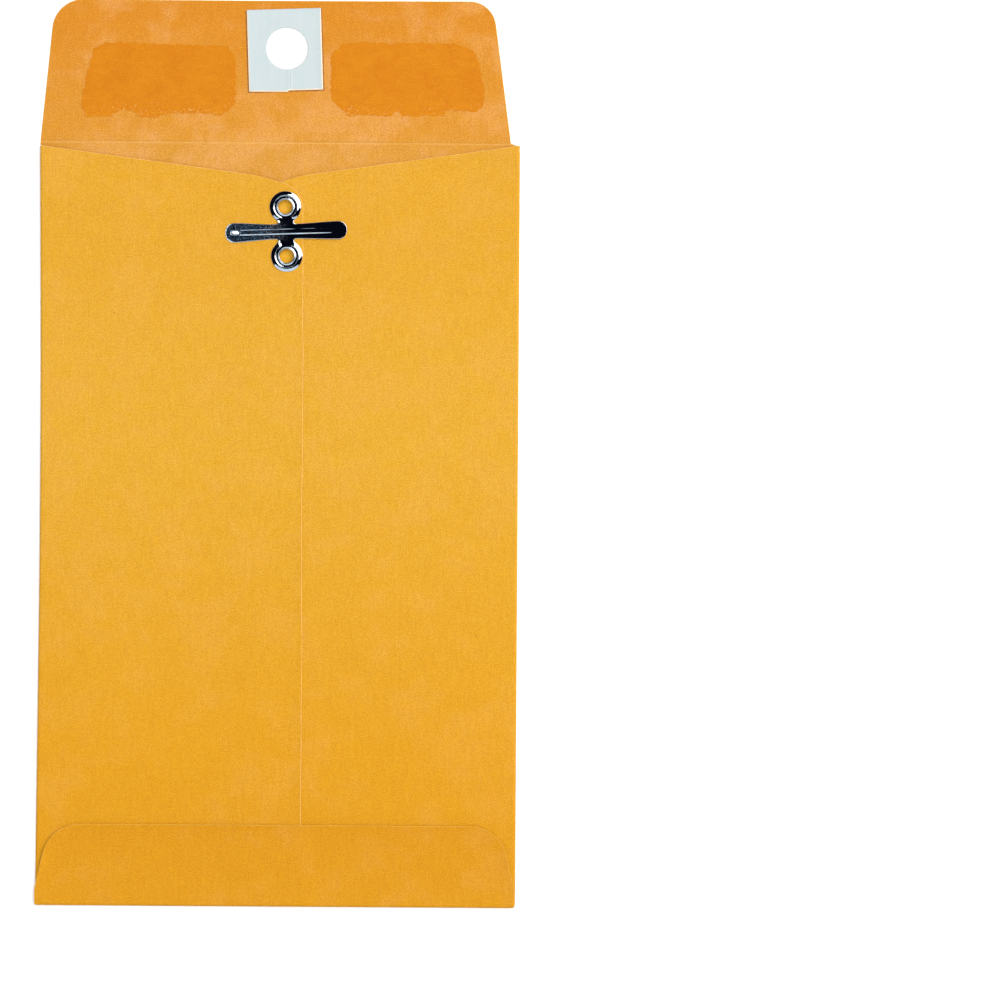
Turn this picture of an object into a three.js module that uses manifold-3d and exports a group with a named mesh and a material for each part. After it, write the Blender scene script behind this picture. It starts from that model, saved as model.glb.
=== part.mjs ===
// A kraft envelope with a metal clasp, 4 by 6 3/8 inches, lying on its front with its flap open flat.
// Millimetres. X runs across the envelope, Y towards the tip of the open flap, Z up out of the table.
// The pieces are drawn with Y = 0 on the flap's crease, and the whole is then centred on the origin.

import * as THREE from 'three';
import { mergeVertices } from 'three/addons/utils/BufferGeometryUtils.js';
import Module from 'manifold-3d';

// Layers of paper, glue, gum and board
const paper = 0.16;
const glueFilm = 0.04;
const gumFilm = 0.05;
const patchBoard = 0.22;
const pocketGap = 0.7;

// Pocket
const pocketWidth = 101.6;
const pocketHeight = 161.9;
const seamReach = 4.7;
const seamCornerRadius = 6.3;
const mouthShoulder = 0.9;
const mouthDrop = 8.1;
const stepRun = 1.0;
const edgeClearance = 0.3;

// Bottom flap
const bottomFlapHeight = 17.3;
const bottomFlapStraight = 3.6;
const bottomFlapSlant = 2.9;
const bottomFlapRadius = 8.2;
const bottomFlapInset = 0.1;

// Seal flap and its hole
const flapHeight = 30.0;
const flapInset = 1.0;
const flapShift = -1.0;
const flapTaper = 3.45;
const flapLean = -0.5;
const flapCornerRadius = 6.0;
const holeDiameter = 8.9;
const holeOffset = 1.35;
const holeFromCrease = 19.8;

// Patch round the hole, turned a little as it was pasted
const patchWidth = 15.7;
const patchHeight = 17.3;
const patchShift = -0.45;
const patchDrop = 0.3;
const patchTurn = 2.0;
const patchCornerRadius = 0.3;
const patchGlueMargin = 1.0;

// Gum strips
const gumFromCrease = 5.2;
const gumHeight = 15.2;
const gumFromFlapSide = 8.3;
const gumFromPatch = 2.0;
const gumSideSlant = 2.6;
const gumCornerRadius = 1.0;

// Glue lines of the pocket
const seamGlueMargin = 0.8;
const seamGlueFromThroat = 3.0;
const bottomGlueMargin = 2.5;

// Clasp
const claspOffset = 1.4;
const claspFromCrease = 19.0;
const claspTurn = 2.0;
const claspSheet = 0.25;
const claspLift = 0.03;
const claspSpan = 25.8;
const barWidth = 3.2;
const neckWidth = 3.3;
const neckFillet = 0.5;
const bendReach = 2.3;
const bendGap = 0.1;
const leftTipWidth = 4.25;
const rightTipWidth = 3.95;
const tipRoundness = 0.92;
const ribWidth = 0.9;
const ribHeight = 0.3;
const ribClearance = 0.15;
const ribEndMargin = 1.2;
const ribBulbDiameter = 1.3;

// Rings of the clasp, and the barrels that are clinched inside the pocket
const ringPitch = 10.4;
const ringDiameter = 6.66;
const ringHoleDiameter = 3.0;
const ringBeadHeight = 0.5;
const ringLipHeight = 0.34;
const ringLipWidth = 0.38;
const ringFloor = 0.16;
const barrelWall = 0.24;
const barrelClearance = 0.12;
const clinchReach = 0.75;
const clinchThickness = 0.24;

// Smoothness of round outlines
const cornerSegments = 7;
const foldSegments = 8;
const ringSegments = 48;
const ribSegments = 12;

// Heights of the layers above the table
const backBottom = paper + pocketGap;
const backTop = backBottom + paper;
const seamStep = paper + glueFilm;
const claspBottom = backTop + seamStep + claspLift;
const claspTop = claspBottom + claspSheet;
const patchBottom = paper + glueFilm;

// Radii of the folds, and the flat parts between them
const sideFoldRadius = backTop / 2;
const bottomFoldRadius = (backTop + seamStep) / 2;
const frontHalf = pocketWidth / 2 - sideFoldRadius;
const pocketFloor = -pocketHeight + bottomFoldRadius;
const flapHalf = pocketWidth / 2 - flapInset;
const bottomFlapHalf = pocketWidth / 2 - bottomFlapInset;

const wasm = await Module();
wasm.setup();

const envelope = new THREE.Group();
envelope.position.y = (pocketHeight - flapHeight) / 2;

const clasp = new THREE.Group();
clasp.position.set(claspOffset, -claspFromCrease, 0);
clasp.rotation.z = THREE.MathUtils.degToRad(claspTurn);
envelope.add(clasp);

// Closed solids for joining and cutting, and back again

function solid(geometry) {
  const bare = geometry.clone();
  bare.deleteAttribute('normal');
  bare.deleteAttribute('uv');
  const merged = mergeVertices(bare, 1e-5);
  return new wasm.Manifold(new wasm.Mesh({
    numProp: 3,
    vertProperties: new Float32Array(merged.attributes.position.array),
    triVerts: new Uint32Array(merged.index.array),
  }));
}

function geometryOf(body) {
  const mesh = body.getMesh();
  const geometry = new THREE.BufferGeometry();
  geometry.setAttribute('position', new THREE.BufferAttribute(mesh.vertProperties, 3));
  geometry.setIndex(new THREE.BufferAttribute(mesh.triVerts, 1));
  geometry.computeVertexNormals();
  return geometry;
}

function addPiece(name, geometry, material, parent = envelope) {
  const mesh = new THREE.Mesh(geometry, material);
  mesh.name = name;
  parent.add(mesh);
}

// Outlines

function outline(corners) {
  const shape = new THREE.Shape();
  corners.forEach(([x, y, radius = 0], i) => {
    const corner = new THREE.Vector2(x, y);
    const before = corners[(i + corners.length - 1) % corners.length];
    const after = corners[(i + 1) % corners.length];
    const back = new THREE.Vector2(before[0] - x, before[1] - y).normalize();
    const on = new THREE.Vector2(after[0] - x, after[1] - y).normalize();
    const halfAngle = Math.acos(THREE.MathUtils.clamp(back.dot(on), -1, 1)) / 2;
    const start = corner.clone().addScaledVector(back, radius / Math.tan(halfAngle));
    if (i === 0) {
      shape.moveTo(start.x, start.y);
    } else {
      shape.lineTo(start.x, start.y);
    }
    if (radius > 0) {
      const end = corner.clone().addScaledVector(on, radius / Math.tan(halfAngle));
      const middle = back.clone().add(on).normalize();
      const centre = corner.clone().addScaledVector(middle, radius / Math.sin(halfAngle));
      const from = start.sub(centre).angle();
      const to = end.sub(centre).angle();
      shape.absarc(centre.x, centre.y, radius, from, to, back.cross(on) > 0);
    }
  });
  shape.closePath();
  return shape;
}

function rectangle(left, right, low, high, radius = 0) {
  return outline([[left, low, radius], [right, low, radius], [right, high, radius], [left, high, radius]]);
}

function plate(shape, low, thickness) {
  const geometry = new THREE.ExtrudeGeometry(shape, {
    depth: thickness,
    bevelEnabled: false,
    curveSegments: cornerSegments,
  });
  return geometry.translate(0, 0, low);
}

function sectionAlongY(shape, near, far, segments = cornerSegments) {
  const geometry = new THREE.ExtrudeGeometry(shape, {
    depth: far - near,
    bevelEnabled: false,
    curveSegments: segments,
  });
  return geometry.rotateX(Math.PI / 2).translate(0, far, 0);
}

function sectionAlongX(shape, left, right, segments = cornerSegments) {
  return sectionAlongY(shape, left, right, segments).rotateZ(-Math.PI / 2);
}

// A sheet that follows a stepped line [x, height], as paper does where it climbs over an edge
function steppedSheet(line, thickness, shape) {
  const top = line.map(([x, z]) => [x, z + thickness]).reverse();
  const section = sectionAlongY(outline([...line, ...top]), -pocketHeight, 0);
  const cutter = plate(shape, -pocketHeight, 2 * pocketHeight);
  return solid(section).intersect(solid(cutter));
}

// Half of a rolled edge: the paper turns from the front panel up to a layer at twice the radius
function halfRoll(radius) {
  const shape = new THREE.Shape();
  shape.absarc(0, radius, radius, -Math.PI / 2, Math.PI / 2, false);
  shape.absarc(0, radius, radius - paper, Math.PI / 2, -Math.PI / 2, true);
  shape.closePath();
  return shape;
}

// Materials

function finish(color, roughness, metalness) {
  return new THREE.MeshStandardMaterial({ color, roughness, metalness });
}

const kraftOutside = finish('#eeb03a', 0.85, 0);
const kraftInside = finish('#ea9f43', 0.88, 0);
const gum = finish('#e68d1f', 0.45, 0);
const glue = finish('#e9dcb8', 0.5, 0);
const patchWhite = finish('#d9e4e6', 0.8, 0);
const tinnedSteel = finish('#9aa6b2', 0.22, 1);

// Front panel: the middle of the blank, between the folds and the crease

function makeFrontPanel() {
  const creaseLeft = Math.max(flapShift - flapHalf, -frontHalf);
  const creaseRight = Math.min(flapShift + flapHalf, frontHalf);
  const shape = outline([
    [-frontHalf, pocketFloor],
    [frontHalf, pocketFloor],
    [frontHalf, -mouthShoulder],
    [creaseRight, 0],
    [creaseLeft, 0],
    [-frontHalf, -mouthShoulder],
  ]);
  addPiece('front_panel', plate(shape, 0, paper), kraftInside);
}

// Back panels: each reaches past the centre line, and its top edge slopes down to a rounded corner.
// The left one climbs over the right one's edge, and both are pierced for the clasp's barrels.

function backPanelShape(side) {
  const slope = (mouthDrop - mouthShoulder) / frontHalf;
  const cornerDrop = mouthDrop + slope * seamReach;
  const corners = [
    [-frontHalf, pocketFloor],
    [seamReach, pocketFloor],
    [seamReach, -cornerDrop, seamCornerRadius],
    [-frontHalf, -mouthShoulder],
  ];
  const turned = side < 0 ? corners : corners.map(([x, y, radius]) => [-x, y, radius]).reverse();
  return outline(turned);
}

function barrelHoles() {
  const radius = ringHoleDiameter / 2 + barrelWall + barrelClearance;
  const turn = THREE.MathUtils.degToRad(claspTurn);
  const holes = [-1, 1].map((end) => {
    const x = claspOffset - end * Math.sin(turn) * ringPitch / 2;
    const y = -claspFromCrease + end * Math.cos(turn) * ringPitch / 2;
    const drill = new THREE.CylinderGeometry(radius, radius, 2 * claspTop, ringSegments);
    return solid(drill.rotateX(Math.PI / 2).translate(x, y, claspTop));
  });
  return holes[0].add(holes[1]);
}

function underBottomFlap() {
  const raised = seamReach + edgeClearance;
  return [
    [-pocketWidth / 2, backTop],
    [-raised - stepRun, backTop],
    [-raised, backTop + seamStep],
    [raised, backTop + seamStep],
    [raised + stepRun, backTop],
    [pocketWidth / 2, backTop],
  ];
}

function makeBackPanels() {
  const holes = barrelHoles();
  const right = solid(plate(backPanelShape(1), backBottom, paper)).subtract(holes);
  addPiece('right_back_panel', geometryOf(right), kraftOutside);

  const raised = seamReach + edgeClearance;
  const line = [
    [-frontHalf, backBottom],
    [-raised - stepRun, backBottom],
    [-raised, backBottom + seamStep],
    [seamReach, backBottom + seamStep],
  ];
  const left = steppedSheet(line, paper, backPanelShape(-1)).subtract(holes);
  addPiece('left_back_panel', geometryOf(left), kraftOutside);

  const glueHalf = seamReach - seamGlueMargin;
  const glueTop = -mouthDrop - seamGlueFromThroat;
  const strip = rectangle(-glueHalf, glueHalf, pocketFloor + seamGlueMargin, glueTop, seamGlueMargin);
  const film = solid(plate(strip, backTop, glueFilm)).subtract(holes);
  addPiece('seam_glue', geometryOf(film), glue);
}

// Folds at the sides and the bottom

function makeFolds() {
  const roll = halfRoll(sideFoldRadius);
  const right = sectionAlongY(roll, pocketFloor, -mouthShoulder, foldSegments).translate(frontHalf, 0, 0);
  addPiece('right_side_fold', right, kraftOutside);
  const left = right.clone().rotateZ(Math.PI).translate(0, pocketFloor - mouthShoulder, 0);
  addPiece('left_side_fold', left, kraftOutside);

  const edge = halfRoll(bottomFoldRadius);
  const bottom = sectionAlongX(edge, -bottomFlapHalf, bottomFlapHalf, foldSegments);
  addPiece('bottom_fold', bottom.translate(0, pocketFloor, 0), kraftOutside);
}

// Bottom flap: straight at the sides, then slanting in to a rounded corner, pasted over the back panels

function makeBottomFlap() {
  const top = -pocketHeight + bottomFlapHeight;
  const straight = -pocketHeight + bottomFlapStraight;
  const narrow = bottomFlapHalf - bottomFlapSlant;
  const shape = outline([
    [-bottomFlapHalf, pocketFloor],
    [bottomFlapHalf, pocketFloor],
    [bottomFlapHalf, straight],
    [narrow, top, bottomFlapRadius],
    [-narrow, top, bottomFlapRadius],
    [-bottomFlapHalf, straight],
  ]);
  const line = underBottomFlap().map(([x, z]) => [x, z + glueFilm]);
  addPiece('bottom_flap', geometryOf(steppedSheet(line, paper, shape)), kraftOutside);

  const glueHalf = narrow - bottomFlapRadius;
  const glueLow = pocketFloor + bottomGlueMargin;
  const strip = rectangle(-glueHalf, glueHalf, glueLow, top - bottomGlueMargin, bottomGlueMargin);
  addPiece('bottom_flap_glue', geometryOf(steppedSheet(underBottomFlap(), glueFilm, strip)), glue);
}

// Seal flap, open flat in line with the front panel

function flapHole() {
  const radius = holeDiameter / 2;
  const punch = new THREE.CylinderGeometry(radius, radius, 2 * holeDiameter, ringSegments);
  return solid(punch.rotateX(Math.PI / 2).translate(holeOffset, holeFromCrease, 0));
}

function makeSealFlap() {
  const topShift = flapShift + flapLean;
  const topHalf = flapHalf - flapTaper;
  const shape = outline([
    [flapShift - flapHalf, 0],
    [flapShift + flapHalf, 0],
    [topShift + topHalf, flapHeight, flapCornerRadius],
    [topShift - topHalf, flapHeight, flapCornerRadius],
  ]);
  const sheet = solid(plate(shape, 0, paper)).subtract(flapHole());
  addPiece('seal_flap', geometryOf(sheet), kraftInside);
}

// Patch: a small board pasted round the hole on the flap's inner face

function patchSheet(low, thickness, margin) {
  const half = patchWidth / 2 - margin;
  const reach = patchHeight / 2 - margin;
  const board = plate(rectangle(-half, half, -reach, reach, patchCornerRadius), low, thickness);
  board.rotateZ(THREE.MathUtils.degToRad(patchTurn));
  board.translate(holeOffset + patchShift, holeFromCrease - patchDrop, 0);
  return geometryOf(solid(board).subtract(flapHole()));
}

function makePatch() {
  addPiece('patch_glue', patchSheet(paper, glueFilm, patchGlueMargin), glue);
  addPiece('flap_patch', patchSheet(patchBottom, patchBoard, 0), patchWhite);
}

// Gum strips: one on each side of the patch, with the outer end slanting as the flap's side does

function makeGumStrip(name, side) {
  const patchEdge = holeOffset + patchShift + side * (patchWidth / 2 + gumFromPatch);
  const outerLow = flapShift + side * (flapHalf - gumFromFlapSide);
  const outerHigh = outerLow - side * gumSideSlant;
  const high = gumFromCrease + gumHeight;
  const corners = [
    [patchEdge, gumFromCrease, gumCornerRadius],
    [outerLow, gumFromCrease, gumCornerRadius],
    [outerHigh, high, gumCornerRadius],
    [patchEdge, high, gumCornerRadius],
  ];
  const shape = outline(side > 0 ? corners : corners.reverse());
  addPiece(name, plate(shape, paper, gumFilm), gum);
}

// Clasp plate: the bar between the bends, a neck to each ring, and the rings with their barrels

function ringProfile() {
  const hole = ringHoleDiameter / 2;
  const outer = ringDiameter / 2;
  const barrel = hole + barrelWall;
  const lip = hole + ringLipWidth;
  const clinchTop = backBottom - barrelClearance / 2;
  const beadMiddle = (lip + outer) / 2;
  const beadHalf = (outer - lip) / 2;
  const profile = [
    [hole, clinchTop - clinchThickness],
    [barrel + clinchReach, clinchTop - clinchThickness],
    [barrel + clinchReach, clinchTop],
    [barrel, clinchTop],
    [barrel, claspBottom],
    [outer, claspBottom],
    [outer, claspBottom + ringFloor],
  ];
  for (let i = 1; i < foldSegments; i += 1) {
    const angle = Math.PI * i / foldSegments;
    const rise = (ringBeadHeight - ringFloor) * Math.sin(angle);
    profile.push([beadMiddle + beadHalf * Math.cos(angle), claspBottom + ringFloor + rise]);
  }
  profile.push([lip, claspBottom + ringFloor]);
  profile.push([lip - ringLipWidth / 4, claspBottom + ringLipHeight]);
  profile.push([hole + ringLipWidth / 4, claspBottom + ringLipHeight]);
  profile.push([hole, claspBottom + ringFloor]);
  profile.push(profile[0]);
  return profile.map(([r, z]) => new THREE.Vector2(r, z));
}

function ring(end) {
  const turned = new THREE.LatheGeometry(ringProfile(), ringSegments).rotateX(Math.PI / 2);
  return solid(turned.translate(0, end * ringPitch / 2, 0));
}

function rib(left, right) {
  const radius = ribWidth / 2;
  const capsule = new THREE.CapsuleGeometry(radius, right - left, ribSegments / 4, ribSegments);
  capsule.rotateZ(Math.PI / 2).scale(1, 1, ribHeight / radius);
  return solid(capsule.translate((left + right) / 2, 0, claspTop));
}

function between(left, right) {
  const reach = ringDiameter + ringPitch;
  const high = claspTop + ribHeight + claspSheet;
  return solid(plate(rectangle(left, right, -reach, reach), claspBottom, high - claspBottom));
}

function makeClaspPlate() {
  const barHalf = barWidth / 2;
  const neckHalf = neckWidth / 2;
  const ringMiddle = (ringHoleDiameter / 2 + ringLipWidth + ringDiameter / 2) / 2;
  const neckEnd = ringPitch / 2 - ringMiddle;
  const cross = outline([
    [-bendReach, -barHalf],
    [-neckHalf, -barHalf, neckFillet],
    [-neckHalf, -neckEnd],
    [neckHalf, -neckEnd],
    [neckHalf, -barHalf, neckFillet],
    [bendReach, -barHalf],
    [bendReach, barHalf],
    [neckHalf, barHalf, neckFillet],
    [neckHalf, neckEnd],
    [-neckHalf, neckEnd],
    [-neckHalf, barHalf, neckFillet],
    [-bendReach, barHalf],
  ]);
  const ribbed = solid(plate(cross, claspBottom, claspSheet)).add(rib(-bendReach, bendReach));
  const bar = ribbed.intersect(between(-bendReach, bendReach));
  const body = bar.add(ring(-1)).add(ring(1));
  addPiece('clasp_plate', geometryOf(body), tinnedSteel, clasp);
}

// Prongs: each widens to a rounded tip, with the rib ending in a bulb short of the tip

function makeProng(name, side, tipWidth) {
  const root = bendReach + bendGap;
  const tip = claspSpan / 2;
  const tipHalf = tipWidth / 2;
  const tipRadius = tipHalf * tipRoundness;
  const blade = outline([
    [root, -barWidth / 2],
    [tip, -tipHalf, tipRadius],
    [tip, tipHalf, tipRadius],
    [root, barWidth / 2],
  ]);
  const bulbCentre = tip - ribEndMargin - ribBulbDiameter / 2;
  const ribStart = bendReach + ribHeight + ribClearance + ribWidth / 2;
  const bulb = new THREE.SphereGeometry(ribBulbDiameter / 2, ribSegments, ribSegments);
  bulb.scale(1, 1, ribHeight * 2 / ribBulbDiameter).translate(bulbCentre, 0, claspTop);
  const raised = rib(ribStart, bulbCentre).add(solid(bulb));
  const body = solid(plate(blade, claspBottom, claspSheet)).add(raised);
  const geometry = geometryOf(body.intersect(between(root, tip + claspSheet)));
  if (side < 0) {
    geometry.rotateZ(Math.PI);
  }
  addPiece(name, geometry, tinnedSteel, clasp);
}

makeFrontPanel();
makeBackPanels();
makeFolds();
makeBottomFlap();
makeSealFlap();
makePatch();
makeGumStrip('left_gum_strip', -1);
makeGumStrip('right_gum_strip', 1);
makeClaspPlate();
makeProng('left_prong', -1, leftTipWidth);
makeProng('right_prong', 1, rightTipWidth);

export default envelope;
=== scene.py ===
import math

import bmesh
import bpy
import numpy as np
from mathutils import Matrix, Vector
from mathutils.geometry import delaunay_2d_cdt


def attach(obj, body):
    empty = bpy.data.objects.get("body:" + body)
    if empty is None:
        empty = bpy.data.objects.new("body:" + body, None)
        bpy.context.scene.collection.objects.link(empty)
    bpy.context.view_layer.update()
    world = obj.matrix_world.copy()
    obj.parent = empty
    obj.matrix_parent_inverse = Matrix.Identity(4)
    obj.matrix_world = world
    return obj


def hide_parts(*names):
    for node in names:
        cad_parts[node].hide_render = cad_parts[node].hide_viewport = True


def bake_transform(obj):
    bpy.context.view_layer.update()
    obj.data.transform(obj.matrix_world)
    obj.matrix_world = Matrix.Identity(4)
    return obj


# A clasp envelope lies on its front, flap open flat, seen from straight above. Sizes are in
# millimetres and become metres when a mesh is made; x runs across, y up to the flap's tip.

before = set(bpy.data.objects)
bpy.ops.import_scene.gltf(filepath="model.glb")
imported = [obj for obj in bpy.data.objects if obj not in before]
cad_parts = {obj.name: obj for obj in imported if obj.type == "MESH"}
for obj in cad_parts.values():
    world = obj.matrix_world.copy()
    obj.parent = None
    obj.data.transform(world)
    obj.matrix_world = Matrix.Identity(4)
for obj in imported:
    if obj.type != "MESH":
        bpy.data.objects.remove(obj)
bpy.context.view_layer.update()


# Front panel. The middle of the die-cut kraft blank, 0.16 mm machine-finished paper, lies on
# the table. Its inner face shows in the mouth; its two sides and bottom go on into the folds.

MM = 0.001
PAPER = 0.16
CREASE = 65.95
POCKET_HALF = 50.8
POCKET_BOTTOM = -95.95
BACK_TOP = 1.02
SEAM_STEP = 0.20
SIDE_FOLD = BACK_TOP / 2 - PAPER / 2
BOTTOM_FOLD = (BACK_TOP + SEAM_STEP) / 2 - PAPER / 2
FRONT_HALF = POCKET_HALF - BACK_TOP / 2
FLOOR_LINE = POCKET_BOTTOM + (BACK_TOP + SEAM_STEP) / 2
BEND_REACH = 0.5
FLAP_JOIN = CREASE - BEND_REACH
LEFT_SHOULDER = 1.1
RIGHT_SHOULDER = 0.55
FLAP_LEFT = -50.75
FLAP_RIGHT = 48.9
CUT_BEVEL = 0.11
POINT_STEP = 1.6
ARC_STEP = 0.5
FOLD_STEPS = 15
ROW_STEP = 1.3


def smooth(value, low, high):
    t = np.clip((value - low) / (high - low), 0, 1)
    return t * t * (3 - 2 * t)


def corner_path(corners, step=POINT_STEP):
    """The closed outline through corners (x, y[, radius]), as points a step apart."""
    count = len(corners)
    path = []
    for i, corner in enumerate(corners):
        here = np.array(corner[:2], float)
        radius = corner[2] if len(corner) > 2 else 0
        back = np.array(corners[i - 1][:2], float) - here
        on = np.array(corners[(i + 1) % count][:2], float) - here
        back, on = back / np.linalg.norm(back), on / np.linalg.norm(on)
        if radius == 0:
            path.append(here)
            continue
        half = math.acos(float(np.clip(back @ on, -1, 1))) / 2
        middle = (back + on) / np.linalg.norm(back + on)
        centre = here + middle * radius / math.sin(half)
        start = here + back * radius / math.tan(half) - centre
        turn = (math.pi - 2 * half) * (1 if back[0] * on[1] - back[1] * on[0] < 0 else -1)
        pieces = max(3, int(abs(turn) * radius / ARC_STEP))
        for k in range(pieces + 1):
            a = turn * k / pieces
            c, s = math.cos(a), math.sin(a)
            path.append(centre + [c * start[0] - s * start[1], s * start[0] + c * start[1]])
    return resample(np.array(path), step)


def resample(path, step):
    """Adds points on the long stretches of a closed path, and keeps its own points."""
    out = []
    for i, here in enumerate(path):
        ahead = path[(i + 1) % len(path)]
        pieces = max(1, int(round(np.linalg.norm(ahead - here) / step)))
        out += [here + (ahead - here) * k / pieces for k in range(pieces)]
    return np.array(out)


def between(start, end):
    """Where resample() puts its points on a straight stretch, so that a fold's rows meet them."""
    pieces = max(1, int(round(abs(end - start) / POINT_STEP)))
    return start + (end - start) * np.arange(1, pieces) / pieces


def circle(x, y, radius, count):
    a = np.arange(count) * 2 * math.pi / count
    return np.column_stack([x + radius * np.cos(a), y + radius * np.sin(a)])


def inset(loop, amount):
    """The loop moved to its left by an amount that may differ from point to point. sharpest
    keeps a narrow corner from running out into a spike."""
    ahead, back = np.roll(loop, -1, 0) - loop, loop - np.roll(loop, 1, 0)
    ahead /= np.linalg.norm(ahead, axis=1)[:, None]
    back /= np.linalg.norm(back, axis=1)[:, None]
    left = np.column_stack([-(ahead + back)[:, 1], (ahead + back)[:, 0]])
    left /= np.linalg.norm(left, axis=1)[:, None]
    sharpest = 0.35
    across = np.clip(left[:, 1] * ahead[:, 0] - left[:, 0] * ahead[:, 1], sharpest, 1)
    return loop + left * (amount / across)[:, None]


def gap_to(points, loops):
    """Each point's distance to the nearest of the loops' edges."""
    best = np.full(len(points), 1e9)
    for loop in loops:
        ahead = np.roll(loop, -1, 0) - loop
        size = np.maximum((ahead ** 2).sum(1), 1e-12)
        for first in range(0, len(points), 2000):
            part = points[first:first + 2000]
            rel = part[:, None, :] - loop[None]
            t = np.clip((rel * ahead[None]).sum(2) / size, 0, 1)
            away = np.sqrt(((rel - t[..., None] * ahead[None]) ** 2).sum(2)).min(1)
            best[first:first + 2000] = np.minimum(best[first:first + 2000], away)
    return best


def inside(points, loops):
    """True for the points within the outline and outside its holes."""
    odd = np.zeros(len(points), bool)
    for loop in loops:
        x0, y0 = loop[:, 0], loop[:, 1]
        x1, y1 = np.roll(x0, -1), np.roll(y0, -1)
        rise = np.where(np.abs(y1 - y0) < 1e-12, 1e-12, y1 - y0)
        for first in range(0, len(points), 4000):
            px, py = points[first:first + 4000, 0, None], points[first:first + 4000, 1, None]
            crossed = ((y0 > py) != (y1 > py)) & (px < (x1 - x0) * (py - y0) / rise + x0)
            odd[first:first + 4000] ^= (crossed.sum(1) % 2).astype(bool)
    return odd


def triangles(loops, points):
    """Points and triangles that fill the outline, and the number of each of the loops' points."""
    corners = [tuple(p) for loop in loops for p in loop]
    edges, first = [], 0
    for loop in loops:
        n = len(loop)
        edges += [(first + k, first + (k + 1) % n) for k in range(n)]
        first += n
    corners += [tuple(p) for p in points]
    margin, same_point = 30, 1e-7
    low, high = loops[0].min(0) - margin, loops[0].max(0) + margin
    corners += [(low[0], low[1]), (high[0], low[1]), (high[0], high[1]), (low[0], high[1])]
    flat, _, faces, source, _, _ = delaunay_2d_cdt([Vector(c) for c in corners], edges, [], 0, same_point)
    flat = np.array(flat)
    faces = np.array([f[:] for f in faces])
    middle = flat[faces].mean(1)
    faces = faces[inside(middle, loops)]
    order = np.array([min(s) if s else -1 for s in source])
    index = np.full(len(corners), -1)
    for new, own in enumerate(source):
        for old in own:
            index[old] = new
    used = np.full(len(flat), -1)
    keep = sorted(set(faces.ravel()), key=lambda i: (order[i] < 0, order[i]))
    used[keep] = np.arange(len(keep))
    count = sum(len(loop) for loop in loops)
    return flat[keep], used[faces], used[index[:count]]


def lattice(low, high, cell):
    """Staggered points over a rectangle, in rows that are 0.87 of a cell apart."""
    rows = np.arange(low[1], high[1], cell * 0.87)
    points = [(x + (cell / 2 if k % 2 else 0), y)
              for k, y in enumerate(rows) for x in np.arange(low[0], high[0], cell)]
    return np.array(points)


def new_piece(name, points, faces, finishes, blank, which=None):
    """An object at the origin from points in millimetres. which gives each face its finish, and
    blank each point's place on the flat sheet, which becomes the UV map."""
    mesh = bpy.data.meshes.new(name)
    mesh.from_pydata((np.asarray(points) * MM).tolist(), [], [list(map(int, f)) for f in faces])
    mesh.materials.clear()
    for finish in finishes:
        mesh.materials.append(finish)
    which = np.zeros(len(faces), int) if which is None else np.asarray(which)
    mesh.polygons.foreach_set("material_index", which.astype(np.int32))
    mesh.polygons.foreach_set("use_smooth", np.ones(len(faces), bool))
    layer = mesh.uv_layers.new(name="blank")
    corner = np.zeros(len(mesh.loops), np.int32)
    mesh.loops.foreach_get("vertex_index", corner)
    layer.data.foreach_set("uv", (np.asarray(blank)[corner] * MM).astype(np.float32).ravel())
    piece = bpy.data.objects.new(name, mesh)
    bpy.context.scene.collection.objects.link(piece)
    return piece


def sharpen(piece, degrees=40):
    """Marks the edges where two finishes meet, or where faces meet at a steep angle."""
    steep = math.radians(degrees)
    form = bmesh.new()
    form.from_mesh(piece.data)
    for edge in form.edges:
        faces = edge.link_faces
        if len(faces) == 2:
            split = faces[0].material_index != faces[1].material_index
            edge.smooth = not (split or faces[0].normal.angle(faces[1].normal, 0) > steep)
    form.to_mesh(piece.data)
    form.free()


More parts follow.
